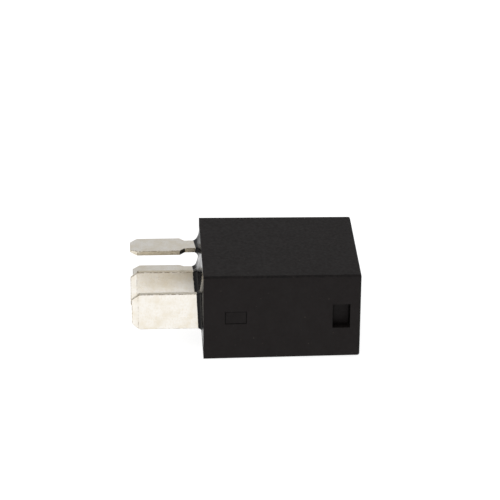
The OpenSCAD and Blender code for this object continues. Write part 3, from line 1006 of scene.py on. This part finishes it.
@dataclass
class Cover:
    """The drafted cap with its grip recesses and snap windows."""

    span: Span = field(default_factory=lambda: Span.of("cover"))
    draft: float = math.radians(0.34)
    wall: float = 1.0
    edge_radius: float = 0.35
    inner_radius: float = 0.3
    edge_segments: int = 5
    recess_length: float = 2.85
    recess_height: float = 4.25
    recess_depth: float = 1.6
    recess_to_end: float = 1.7
    recess_wall: float = 0.8
    window_length: float = 3.5
    window_height: float = 2.2
    window_from_rim: float = 3.5
    lip_radius: float = 0.09
    gutter_width: float = 0.2
    gutter_depth: float = 0.25
    skin_share: float = 0.7
    floor_margin: float = 0.3

    @property
    def length(self) -> float:
        """The cover's length from its rim to its closed end."""
        return self.span.high.x

    @property
    def recess_x(self) -> tuple[float, float]:
        """Where a grip recess starts and ends."""
        end = self.length - self.recess_to_end
        return end - self.recess_length, end

    def skin(self, inset: float, end: float, radius: float) -> bmesh.types.BMesh:
        """Makes one drafted skin of the cover, open at the rim.

        Args:
            inset: Distance inside the cover's outside, at the rim.
            end: Where the skin is closed.
            radius: The rounding of its edges.

        Returns:
            The skin's mesh.
        """
        bm = bmesh.new()
        bmesh.ops.create_cube(bm, size=2)
        taper = math.tan(self.draft)
        for vertex in bm.verts:
            x = end if vertex.co.x > 0 else 0.0
            half_w = self.span.high.y - inset - x * taper
            half_h = self.span.high.z - inset - x * taper
            vertex.co = (x, vertex.co.y * half_w, vertex.co.z * half_h)
        rim = [face for face in bm.faces if face.calc_center_median().x < LEVEL]
        bmesh.ops.delete(bm, geom=rim, context="FACES_ONLY")
        soften(bm, radius, self.edge_segments, wanted=lambda edge: not edge.is_boundary)
        start, stop = self.recess_x
        for level in (
            self.window_from_rim,
            self.window_from_rim + self.window_length,
            start - self.recess_wall,
            start,
            start + self.gutter_width,
            stop - self.gutter_width,
            stop,
        ):
            cut(bm, Axis.X, level)
        half = self.recess_height / 2
        for level in (self.window_height / 2, half, half + self.recess_wall):
            cut(bm, Axis.Z, level)
            cut(bm, Axis.Z, -level)
        return bm

    def region(
        self, bm: bmesh.types.BMesh, side: int, along: Range, half: float
    ) -> list[bmesh.types.BMFace]:
        """Finds a rectangle of one narrow side's faces.

        Args:
            bm: A skin of the cover.
            side: 1 or -1 for the narrow side.
            along: The rectangle's range along the cover.
            half: Half its height.

        Returns:
            The faces in it.
        """
        beyond = self.span.size.y
        low, high = Vector((along[0], -beyond, -half)), Vector((along[1], beyond, half))
        return faces_towards(bm, Vector((0, side, 0)), low, high)

    def build(self) -> None:
        """Models the cover and dresses it."""
        outer = self.skin(0.0, self.length, self.edge_radius)
        inner = self.skin(self.wall, self.length - self.wall, self.inner_radius)
        start, stop = self.recess_x
        half = self.recess_height / 2
        floor = self.span.high.y - self.recess_depth - start * math.tan(self.draft)
        pocket = start + self.gutter_width, stop - self.gutter_width
        behind = start - self.recess_wall, stop
        window = self.window_from_rim, self.window_from_rim + self.window_length
        for side in (-1, 1):
            for skin, along, height, depth in (
                (outer, self.recess_x, half, floor - self.gutter_depth),
                (outer, pocket, half, floor),
                (inner, behind, half + self.recess_wall, floor - self.recess_wall),
            ):
                faces = self.region(skin, side, along, height)
                extrude_faces(skin, faces, Axis.Y, side * depth)
            for skin in (outer, inner):
                opening = self.region(skin, side, window, self.window_height / 2)
                bmesh.ops.delete(skin, geom=opening, context="FACES")
        absorb(outer, inner)
        for side in (-1, 1):
            picked_edges = [edge for edge in outer.edges if edge.is_boundary]
            places = [edge.verts[0].co for edge in picked_edges]
            edges = [e for e, co in zip(picked_edges, places) if co.x > self.wall and co.y * side > 0]
            bmesh.ops.bridge_loops(outer, edges=edges)
        rim = [edge for edge in outer.edges if edge.is_boundary]
        bmesh.ops.triangle_fill(outer, edges=rim, use_beauty=True, normal=-X_AXIS)
        bmesh.ops.recalc_face_normals(outer, faces=outer.faces)
        soften(outer, self.lip_radius, sharper_than=60.0, wanted=self.is_outside, join=False)
        finish_piece(outer, "cover_look", Finish.COVER)

    def is_outside(self, edge: bmesh.types.BMEdge) -> bool:
        """Tells whether an edge belongs to the outside, a grip recess or the rim.

        Args:
            edge: An edge of the closed cover.

        Returns:
            Whether the edge is rounded.
        """
        middle = (edge.verts[0].co + edge.verts[1].co) / 2
        start, stop = self.recess_x
        skin = self.span.high.y - self.wall * self.skin_share
        floor = self.span.high.y - self.recess_depth - self.floor_margin
        in_recess = (
            start - MARGIN < middle.x < stop + MARGIN
            and abs(middle.z) < self.recess_height / 2 + MARGIN
            and abs(middle.y) > floor
        )
        return middle.x < MARGIN or abs(middle.y) > skin or in_recess


@dataclass(frozen=True)
class Foot:
    """How the resin stands at one blade.

    The blade's section and its middle, the climb there with its slopes, the radius of
    the steep lip beside the blade, and how far the gentler climb reaches.
    """

    y: float
    z: float
    size_y: float
    size_z: float
    climb: float
    slope_y: float
    slope_z: float
    lip: float
    reach: float

    def height(self, y: float, z: float) -> float:
        """Works out how far this blade lifts the resin at a place.

        Args:
            y: The place across the cover's width.
            z: The place across its height.

        Returns:
            The lift in millimetres.
        """
        off_y = max(abs(y - self.y) - self.size_y / 2, 0)
        off_z = max(abs(z - self.z) - self.size_z / 2, 0)
        distance = math.hypot(off_y, off_z)
        at_y = min(max(y - self.y, -self.size_y / 2), self.size_y / 2)
        at_z = min(max(z - self.z, -self.size_z / 2), self.size_z / 2)
        climb = self.climb + self.slope_y * at_y + self.slope_z * at_z
        broad = (climb - self.lip) * math.exp(-distance / self.reach)
        gap = max(self.lip - distance, 0)
        return broad + self.lip - math.sqrt(self.lip**2 - gap**2)


@dataclass
class SealingResin:
    """The potting resin: a pool that climbs each blade and sinks to the rim's level."""

    span: Span = field(default_factory=lambda: Span.of("sealing_resin"))
    step: float = 0.085
    wall_reach: float = 0.7
    below_rim: float = 0.05
    sharing: float = 5.0
    wave: float = 0.035
    wave_per_mm: float = 0.45
    wave_seed: float = 3.7

    def feet(self) -> list[Foot]:
        """Lists the blades with the resin's climb at each.

        Returns:
            A foot for each of the five blades.
        """
        t = BLADE_THICKNESS
        y_30 = Span.of("terminal_30").middle.y
        y_87 = Span.of("terminal_87").low.y + t / 2
        _, y, z = Span.of("terminal_86").middle
        wide = {"size_y": t, "size_z": WIDE_BLADE, "slope_y": 0}
        centre = {"size_y": CENTRE_NECK, "size_z": t, "slope_z": 0}
        coil = {"size_y": COIL_NECK, "size_z": t, "slope_z": 0}
        return [
            Foot(y_30, 0, climb=1.1, slope_z=0.05, lip=0.68, reach=3.0, **wide),
            Foot(y_87, 0, climb=1.22, slope_z=0.09, lip=0.62, reach=2.0, **wide),
            Foot(y, 0, climb=1.25, slope_y=0.08, lip=0.5, reach=1.8, **centre),
            Foot(y, z, climb=1.34, slope_y=0.13, lip=0.45, reach=1.7, **coil),
            Foot(y, -z, climb=1.1, slope_y=0.05, lip=0.5, reach=1.7, **coil),
        ]

    def height(self, feet: list[Foot], y: float, z: float) -> float:
        """Works out how far the resin stands out past the rim.

        Args:
            feet: The blades that the resin climbs.
            y: The place across the cover's width.
            z: The place across its height.

        Returns:
            The height past the rim, in millimetres.
        """
        shared = sum(foot.height(y, z) ** self.sharing for foot in feet)
        lift = shared ** (1 / self.sharing)
        from_wall = min(self.span.high.y - abs(y), self.span.high.z - abs(z))
        held = 1 - math.exp(-max(from_wall, 0) / self.wall_reach)
        spot = Vector((y, z, self.wave_seed)) * self.wave_per_mm
        return lift * held + self.wave * noise.noise(spot) * held - self.below_rim

    def build(self) -> None:
        """Models the pool as a fine sheet, gives it depth and dresses it."""
        feet = self.feet()
        size = self.span.size
        bm = bmesh.new()
        bmesh.ops.create_grid(
            bm,
            x_segments=round(size.y / self.step),
            y_segments=round(size.z / self.step),
            size=0.5,
        )
        for vertex in bm.verts:
            y, z = vertex.co.x * size.y, vertex.co.y * size.z
            vertex.co = (-self.height(feet, y, z), y, z)
        boundary = [edge for edge in bm.edges if edge.is_boundary]
        skirt = bmesh.ops.extrude_edge_only(bm, edges=boundary)["geom"]
        low = [item for item in skirt if isinstance(item, bmesh.types.BMVert)]
        for vertex in low:
            vertex.co.x = self.span.high.x
        rim = [edge for edge in bm.edges if edge.is_boundary]
        bmesh.ops.edgenet_fill(bm, edges=rim)
        finish_piece(bm, "sealing_resin_look", Finish.RESIN)


@dataclass
class Terminal:
    """One stamped blade, with the folds that carry it on inside the cover."""

    node: str
    middle_y: float
    middle_z: float
    width: float
    neck: float
    root: float
    upright: bool = False
    thickness: float = BLADE_THICKNESS
    tip_chamfer: float = 1.2
    tip_inset: float = 0.95
    coin_length: float = 1.0
    coin_thickness: float = 0.42
    shoulder_x: float = -3.4
    shoulder_length: float = 0.8
    edge_radius: float = 0.08
    edge_segments: int = 3
    sharper_than: float = 30.0
    score_width: float = 0.06

    def __post_init__(self) -> None:
        """Reads the blade's box from the frame."""
        self.span = Span.of(self.node)

    def outline(self) -> list[tuple[float, float]]:
        """Gives half of the blade's outline, from its tip to its root.

        Returns:
            Points as distance along the blade and half width.
        """
        tip = self.span.low.x
        half, neck = self.width / 2, self.neck / 2
        points = [(tip, half - self.tip_inset), (tip + self.tip_chamfer, half)]
        if neck < half:
            points.append((self.shoulder_x, half))
            points.append((self.shoulder_x + self.shoulder_length, neck))
        points.append((self.root, neck))
        return points

    def blank(self) -> bmesh.types.BMesh:
        """Stamps the blade: its outline, its thickness and its coined tip.

        Returns:
            The blade's mesh in its place, in millimetres.
        """
        bm = bmesh.new()
        half = self.outline()
        points = half + [(x, -w) for x, w in reversed(half)]
        face = bm.faces.new([bm.verts.new((x, w, -self.thickness / 2)) for x, w in points])
        risen = bmesh.ops.extrude_face_region(bm, geom=[face], use_keep_orig=True)["geom"]
        for vertex in risen:
            if isinstance(vertex, bmesh.types.BMVert):
                vertex.co.z = self.thickness / 2
        bmesh.ops.recalc_face_normals(bm, faces=bm.faces)
        tip = self.span.low.x
        cut(bm, Axis.X, tip + self.coin_length)
        for vertex in bm.verts:
            if vertex.co.x < tip + LEVEL:
                vertex.co.z *= self.coin_thickness / self.thickness
        place = Matrix.Translation((0, self.middle_y, self.middle_z))
        if self.upright:
            place = place @ UPRIGHT
        bmesh.ops.transform(bm, matrix=place, verts=bm.verts)
        return bm

    def build(self, fold: Callable[[bmesh.types.BMesh], None] = lambda bm: None) -> None:
        """Models the terminal and dresses it.

        Args:
            fold: Adds the terminal's folds to its blade.
        """
        bm = self.blank()
        fold(bm)
        join_flat_faces(bm)
        bm.normal_update()
        mark_cut_faces(bm, self.thickness)
        soften(bm, self.edge_radius, self.edge_segments, self.sharper_than)
        if self.upright:
            self.score(bm)
        finish_piece(bm, f"{self.node}_look", Finish.TIN)

    def score(self, bm: bmesh.types.BMesh) -> None:
        """Paints a thin dark line across the blade where its coined tip starts: painted shade in the crease,
        in the edge colour.

        Args:
            bm: The terminal's mesh, in millimetres.
        """
        start = self.span.low.x + self.coin_length
        cut(bm, Axis.X, start)
        cut(bm, Axis.X, start + self.score_width)
        # The line's faces take the dark edge colour: painted shade.
        layer = bm.faces.layers.float["edge"]
        for face in bm.faces:
            if start < face.calc_center_median().x < start + self.score_width:
                face[layer] = 1.0


@dataclass
class Terminals:
    """The five terminals and the folded strips behind them."""

    thickness: float = BLADE_THICKNESS
    strip: float = 0.6
    yoke_gap: float = 0.05
    run_x: float = 1.7
    run_z: float = 1.05
    run_width: float = 2.6
    yoke_tab_width: float = 5.2
    make_gap: float = 0.4
    make_plate_rim: float = 0.3
    web_length: float = 0.9
    break_z: float = -3.4
    break_plate_rim: float = 0.1
    coil_tab_gap: float = 0.35
    coil_tab_reach: float = 2.1

    @property
    def base_end(self) -> float:
        """Where the base ends, just short of the yoke."""
        return Span.of("yoke").low.x - self.yoke_gap

    @property
    def run(self) -> Range:
        """Where the runs through the base start and end."""
        return self.run_x, self.run_x + self.thickness

    @property
    def make_y(self) -> float:
        """Where the make side's riser starts."""
        return Span.of("coil_bobbin").high.y + self.make_gap

    def build(self) -> None:
        """Builds all five."""
        run_end = self.run[1]
        y_30 = Span.of("terminal_30").middle.y
        y_87 = Span.of("terminal_87").low.y + self.thickness / 2
        coil = Span.of("terminal_86").middle
        wide = {"middle_z": 0, "width": WIDE_BLADE, "neck": WIDE_BLADE, "upright": True}
        Terminal("terminal_30", y_30, root=self.base_end, **wide).build(self.tab_30)
        Terminal("terminal_87", y_87, root=run_end, **wide).build(self.fold_87)
        centre = Terminal("terminal_87a", coil.y, 0, NARROW_BLADE, CENTRE_NECK, run_end)
        centre.build(self.fold_87a)
        for node, side in (("terminal_85", -1), ("terminal_86", 1)):
            height = side * coil.z
            blade = Terminal(node, coil.y, height, NARROW_BLADE, COIL_NECK, self.base_end)
            blade.build(lambda bm, z=height: self.coil_tab(bm, z))

    def tab_30(self, bm: bmesh.types.BMesh) -> None:
        """Adds the tab that lies on the yoke.

        Args:
            bm: The stamped blade 30.
        """
        span = Span.of("terminal_30")
        half = self.yoke_tab_width / 2
        levels = self.base_end, span.high.x
        grow(bm, Axis.X, levels, (span.low.y, span.high.y), (-half, half))

    def fold_87(self, bm: bmesh.types.BMesh) -> None:
        """Adds the run through the base, the riser and the arm with its plate.

        Args:
            bm: The stamped blade 87.
        """
        span = Span.of("terminal_87")
        end = self.run[1]
        blade_y = span.low.y + self.thickness
        riser = self.make_y, self.make_y + self.strip
        arm = span.high.x - self.strip, span.high.x
        edge = WIDE_BLADE / 2
        height = self.run_z, self.run_z + self.run_width
        plate_z = -Span.of("contact_no").size.z / 2 - self.make_plate_rim
        grow(bm, Axis.Z, (edge, height[1]), self.run, (span.low.y, blade_y))
        grow(bm, Axis.Y, (blade_y, riser[1]), self.run, height)
        grow(bm, Axis.X, (end, span.high.x), riser, height)
        grow(bm, Axis.Y, (riser[1], span.high.y), arm, height)
        grow(bm, Axis.Z, (height[0], plate_z), arm, (self.make_y, span.high.y))

    def fold_87a(self, bm: bmesh.types.BMesh) -> None:
        """Adds the web, the riser and the arm with its plate.

        Args:
            bm: The stamped blade 87a.
        """
        span = Span.of("terminal_87a")
        contact = Span.of("contact_nc")
        middle = Span.of("terminal_86").middle.y
        edge = middle + CENTRE_NECK / 2
        half = self.thickness / 2
        web = self.run_x, self.base_end + self.web_length
        riser = span.high.y - self.strip, span.high.y
        arm = span.high.x - self.strip, span.high.x
        plate = contact.low.y - self.break_plate_rim, span.high.y
        plate_top = contact.high.z + self.break_plate_rim
        flat, tall = (-half, half), (self.break_z, half)
        grow(bm, Axis.X, (self.run[1], web[1]), (middle - CENTRE_NECK / 2, edge), flat)
        grow(bm, Axis.Y, (edge, span.high.y), web, flat)
        grow(bm, Axis.Z, (-half, self.break_z), web, riser)
        grow(bm, Axis.X, (web[1], span.high.x), riser, tall)
        grow(bm, Axis.Y, (riser[0], plate[0]), arm, tall)
        grow(bm, Axis.Z, (half, plate_top), arm, plate)

    def coil_tab(self, bm: bmesh.types.BMesh, height: float) -> None:
        """Adds the tab beside the bobbin that the coil's wire is wrapped on.

        Args:
            bm: The stamped blade 85 or 86.
            height: The blade's middle on Z.
        """
        span = Span.of("terminal_86")
        edge = span.middle.y + COIL_NECK / 2
        tab = (
            Span.of("coil_bobbin").high.y + self.coil_tab_gap,
            span.middle.y + self.coil_tab_reach,
        )
        flat = height - self.thickness / 2, height + self.thickness / 2
        grow(bm, Axis.Y, (edge, tab[1]), (self.run_x, self.base_end), flat)
        grow(bm, Axis.X, (self.base_end, span.high.x), tab, flat)


# -------------------------------------------------------------- the inside


@dataclass
class FinishedNode:
    """A node whose shape is right: its edges are broken and it gets its finish."""

    node: str
    finish: Finish
    body: Body = Body.HOUSING
    edge_radius: float = 0.05
    segments: int = 2

    def build(self) -> bpy.types.Object:
        """Rounds a copy of the node and dresses it.

        Returns:
            The piece's object.
        """
        bm = merged_copy(self.node)
        soften(bm, self.edge_radius, self.segments)
        return finish_piece(bm, f"{self.node}_look", self.finish, self.body)


@dataclass
class Base:
    """The plate that holds the blades and snaps into the cover."""

    edge_radius: float = 0.05
    ramp: float = 0.32
    nub_from: float = 0.4

    def build(self) -> None:
        """Builds the base, with snap nubs that fill the cover's windows."""
        bm = merged_copy("base")
        span = Span.of("base")
        end = max(v.co.x for v in bm.verts if abs(v.co.y) > span.high.y - self.nub_from)
        for vertex in bm.verts:
            if abs(vertex.co.y) > span.high.y - LEVEL and vertex.co.x > end - LEVEL:
                vertex.co.x = end + self.ramp
        soften(bm, self.edge_radius)
        finish_piece(bm, "base_look", Finish.BASE)


@dataclass
class Coil:
    """Bobbin, winding, film tape and the two leads that end on the tabs."""

    wire: float = 0.25
    wire_sides: int = 3
    bore_radius: float = 3.21
    tape_radius: float = 5.03
    tape_film: float = 0.05
    tape_ripples: int = 14
    ripple_share: float = 0.35
    flap_angle: float = math.radians(70)
    flap_inset: float = 0.15
    flap_sink: float = 0.02
    flap_steps: int = 12
    turn_steps: int = 64
    lead_radius: float = 0.1
    lead_gap: float = 0.03
    lead_start_x: float = 5.8
    lead_angle: float = math.radians(55)
    wrap_x: float = 6.7
    wrap_turns: int = 4
    wrap_pitch: float = 0.23
    tab_faces: tuple[float, float] = (4.55, 5.35)
    tab_width: tuple[float, float] = (4.72, 7.41)

    def place(self, span: Span) -> Matrix:
        """Gives the place where the axis of one of the coil's layers starts."""
        return Matrix.Translation((span.low.x, span.middle.y, span.middle.z))

    def build(self) -> None:
        """Builds all of the coil."""
        FinishedNode("coil_bobbin", Finish.BOBBIN, edge_radius=0.1, segments=3).build()
        self.wind()
        self.tape()
        self.lead_out()

    def wind(self) -> None:
        """Winds the wire: the outer layer shows every turn."""
        span = Span.of("coil_winding")
        turns = round(span.size.x / self.wire)
        pitch = span.size.x / turns
        valley = span.size.y / 2 - pitch / 2
        profile = [(0, self.bore_radius), (0, valley)]
        for turn in range(turns):
            for step in range(self.wire_sides + 1):
                angle = math.pi * (step + 0.5) / (self.wire_sides + 1)
                along = (turn + 0.5) * pitch - math.cos(angle) * pitch / 2
                profile.append((along, valley + math.sin(angle) * pitch / 2))
        profile += [(span.size.x, valley), (span.size.x, self.bore_radius)]
        bm = bmesh.new()
        lathe(bm, profile, self.place(span), steps=self.turn_steps, closed=True)
        finish_piece(bm, "coil_winding_look", Finish.COPPER, smooth_below=60.0)

    def tape(self) -> None:
        """Wraps the film tape, with its loose end as a second layer."""
        span = Span.of("coil_tape")
        length = span.size.x
        outer = span.size.y / 2
        profile = [(0, self.tape_radius)]
        for ripple in range(self.tape_ripples + 1):
            dip = self.tape_film * (self.ripple_share if ripple % 2 else 0.0)
            profile.append((length * ripple / self.tape_ripples, outer - dip))
        profile.append((length, self.tape_radius))
        bm = bmesh.new()
        lathe(bm, profile, self.place(span), steps=self.turn_steps, closed=True)
        flap = bmesh.new()
        ends = self.flap_inset, length - self.flap_inset
        corners = [(along, outer - self.flap_sink) for along in ends]
        corners += [(along, outer + self.tape_film) for along in reversed(ends)]
        face = flap.faces.new([flap.verts.new((along, radius, 0)) for along, radius in corners])
        spin(flap, [face, *face.edges, *face.verts], self.flap_angle, self.flap_steps)
        bmesh.ops.transform(flap, matrix=self.place(span), verts=flap.verts)
        absorb(bm, flap)
        finish_piece(bm, "coil_tape_look", Finish.TAPE)

    def lead_out(self) -> None:
        """Leads both ends of the wire to their tabs and wraps them round."""
        tape = Span.of("coil_tape")
        clear = self.lead_radius
        reach = tape.size.y / 2 + clear + self.lead_gap
        start_y = tape.middle.y + reach * math.cos(self.lead_angle)
        start_z = reach * math.sin(self.lead_angle)
        low, high = self.tab_faces[0] - clear, self.tab_faces[1] + clear
        near, far = self.tab_width[0] - clear, self.tab_width[1] + clear
        corners = [(near, low), (far, low), (far, high), (near, high)]
        bm = bmesh.new()
        for side in (-1, 1):
            path = [Vector((self.lead_start_x, start_y, side * start_z))]
            for index in range(len(corners) * self.wrap_turns + 1):
                y, z = corners[index % len(corners)]
                x = self.wrap_x + clear + index * self.wrap_pitch / len(corners)
                path.append(Vector((x, y, side * z)))
            tube(bm, path, self.lead_radius)
        finish_piece(bm, "coil_leads_look", Finish.COPPER)


@dataclass
class Magnet:
    """Yoke, core, armature, spring and their rivets."""

    blend_before: float = 0.9
    blend_after: float = 1.4
    bend_from: float = 17.0
    bend_step: float = 0.3
    bend_cuts: int = 7

    def build(self) -> None:
        """Builds the magnet's iron and its spring."""
        FinishedNode("yoke", Finish.IRON, edge_radius=0.12, segments=3).build()
        FinishedNode("core", Finish.IRON, edge_radius=0.1).build()
        FinishedNode(
            "armature", Finish.IRON, Body.ARMATURE, edge_radius=0.12, segments=3
        ).build()
        for node, body in (
            ("spring_yoke_rivets", Body.HOUSING),
            ("spring_armature_rivets", Body.ARMATURE),
        ):
            FinishedNode(node, Finish.RIVET, body, edge_radius=0.08, segments=3).build()
        self.bend_spring()

    def bend_spring(self) -> None:
        """Dresses the leaf and lets its loop bend between yoke and armature."""
        bm = merged_copy("armature_spring")
        join_flat_faces(bm)
        for step in range(1, self.bend_cuts + 1):
            cut(bm, Axis.X, self.bend_from + step * self.bend_step)
        bmesh.ops.recalc_face_normals(bm, faces=bm.faces)
        piece = finish_piece(bm, "armature_spring_look", Finish.BRONZE, Body.BETWEEN)
        yoke = Span.of("yoke")
        start, end = (
            ((yoke.high.x + offset) * MM, yoke.low.y * MM, 0)
            for offset in (-self.blend_before, self.blend_after)
        )
        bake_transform(piece, Body.HOUSING.value, Body.ARMATURE.value, start=start, end=end)


@dataclass
class Contacts:
    """The two fixed contacts and the one that moves between them."""

    edge_radius: float = 0.06

    def build(self) -> None:
        """Builds the three contacts."""
        for node, body in (
            ("contact_no", Body.HOUSING),
            ("contact_nc", Body.HOUSING),
            ("moving_contact", Body.ARMATURE),
        ):
            FinishedNode(node, Finish.SILVER, body, self.edge_radius).build()


@dataclass
class Resistor:
    """The resistor across the coil, its leads and its solder joints."""

    body_radius: float = 0.75
    waist_radius: float = 0.62
    end_radius: float = 0.3
    cap_length: float = 1.1
    cap_steps: int = 10
    fillet_foot: float = 0.575
    fillet_skin: float = 0.06
    fillet_steps: int = 6
    lead_radius: float = 0.225

    def build(self) -> None:
        """Builds the body, the leads and the solder."""
        self.shape_body()
        FinishedNode("resistor_leads", Finish.LEAD, edge_radius=0.05).build()
        self.solder()

    def shape_body(self) -> None:
        """Lathes the body: two round caps with a waist between them."""
        span = Span.of("resistor_body")
        half = span.size.z / 2
        cap = self.cap_length / 2
        profile = [(-half, 0.0)]
        for end in (-1, 1):
            middle = end * (half - cap)
            for step in range(self.cap_steps + 1):
                angle = math.pi * (1 - step / self.cap_steps)
                swell = self.body_radius * math.sqrt(abs(math.sin(angle)))
                least = self.waist_radius if math.cos(angle) * end < 0 else self.end_radius
                profile.append((middle + math.cos(angle) * cap, max(swell, least)))
        profile.append((half, 0.0))
        bm = bmesh.new()
        lathe(bm, profile, Matrix.Translation(span.middle) @ ALONG_Z, steps=32)
        finish_piece(bm, "resistor_body_look", Finish.RESISTOR, smooth_below=70.0)

    def solder(self) -> None:
        """Lathes the two fillets that join the leads to the tabs."""
        middle = Span.of("resistor_body").middle
        tab = Span.of("terminal_86").high.z
        rise = Span.of("solder_joints").high.z - tab
        skin = self.lead_radius + self.fillet_skin
        profile = [(0.0, self.lead_radius), (0.0, self.fillet_foot)]
        for step in range(1, self.fillet_steps + 1):
            share = step / self.fillet_steps
            profile.append((rise * share, skin + (self.fillet_foot - skin) * (1 - share) ** 2))
        profile.append((rise, self.lead_radius))
        bm = bmesh.new()
        for level, turn in ((-tab, ALONG_MINUS_Z), (tab, ALONG_Z)):
            place = Matrix.Translation((middle.x, middle.y, level)) @ turn
            lathe(bm, profile, place, steps=24, closed=True)
        finish_piece(bm, "solder_joints_look", Finish.SOLDER, smooth_below=60.0)


# -------------------------------------------------------------- the studio


@dataclass
class Studio:
    """Floor, light and camera."""

    azimuth: float = math.radians(-3.191)
    elevation: float = math.radians(26.12)
    roll: float = math.radians(0.526)
    distance: float = 420.9
    target: Point = (8.049, 0.0, 6.716)
    lens: float = 184.2
    floor_size: float = 6.0
    floor_gap: float = 0.00001
    world_strength: float = 0.66
    key_place: Point = (-0.35, -0.45, 0.75)
    key_size: float = 0.5
    key_power: float = 1.0
    fill_place: Point = (0.6, -0.2, 0.6)
    fill_size: float = 0.6
    fill_power: float = 0.3

    def build(self) -> None:
        """Sets up all three."""
        self.lay_floor()
        self.hang_lights()
        self.place_camera()

    def lay_floor(self) -> None:
        """Lays a plain pale floor just under the relay."""
        bm = bmesh.new()
        level = CAD_BOX[0][2] - self.floor_gap
        bmesh.ops.create_grid(bm, x_segments=1, y_segments=1, size=self.floor_size / 2)
        bmesh.ops.translate(bm, vec=Vector((0, 0, level)), verts=bm.verts)
        mesh = bpy.data.meshes.new("studio_floor")
        bm.to_mesh(mesh)
        bm.free()
        mesh.materials.append(Finish.FLOOR.material)
        floor = bpy.data.objects.new("studio_floor", mesh)
        bpy.context.scene.collection.objects.link(floor)

    def hang_lights(self) -> None:
        """Hangs a large key and a fill, in an even white room."""
        world = bpy.data.worlds.new("studio")
        world.use_nodes = True
        background = world.node_tree.nodes["Background"]
        background.inputs["Color"].default_value = (1.0, 1.0, 1.0, 1.0)
        background.inputs["Strength"].default_value = self.world_strength
        bpy.context.scene.world = world
        self.softbox("key", self.key_place, self.key_size, self.key_power)
        self.softbox("fill", self.fill_place, self.fill_size, self.fill_power)

    def softbox(self, name: str, place: Point, size: float, power: float) -> None:
        """Hangs one square light that faces the relay.

        Args:
            name: The light's name.
            place: Where it hangs, in metres.
            size: The length of its sides, in metres.
            power: Its power in watts.
        """
        data = bpy.data.lights.new(name, "AREA")
        data.size = size
        data.energy = power
        light = bpy.data.objects.new(name, data)
        light.location = place
        aim = Vector(self.target) * MM - Vector(place)
        light.rotation_euler = aim.to_track_quat("-Z", "Y").to_euler()
        bpy.context.scene.collection.objects.link(light)

    def place_camera(self) -> None:
        """Places the camera and makes it the scene's own."""
        data = bpy.data.cameras.new("camera")
        data.lens = self.lens
        data.sensor_width = 36.0
        data.clip_start = 0.01
        data.clip_end = 50.0
        camera = bpy.data.objects.new("camera", data)
        level = math.cos(self.elevation)
        away = Vector(
            (
                math.sin(self.azimuth) * level,
                -math.cos(self.azimuth) * level,
                math.sin(self.elevation),
            )
        )
        camera.location = (Vector(self.target) + away * self.distance) * MM
        upright = (-away).to_track_quat("-Z", "Y").to_matrix().to_4x4()
        turned = upright @ Matrix.Rotation(self.roll, 4, "Z")
        camera.rotation_euler = turned.to_euler()
        bpy.context.scene.collection.objects.link(camera)
        bpy.context.scene.camera = camera
        bpy.context.scene.view_settings.view_transform = "Standard"


def main() -> None:
    """Builds the relay and its studio."""
    logging.basicConfig(level=logging.INFO, format="%(name)s: %(message)s")
    Studio().build()
    Cover().build()
    SealingResin().build()
    Terminals().build()
    Base().build()
    Magnet().build()
    Coil().build()
    Contacts().build()
    Resistor().build()


if __name__ == "__main__":
    main()
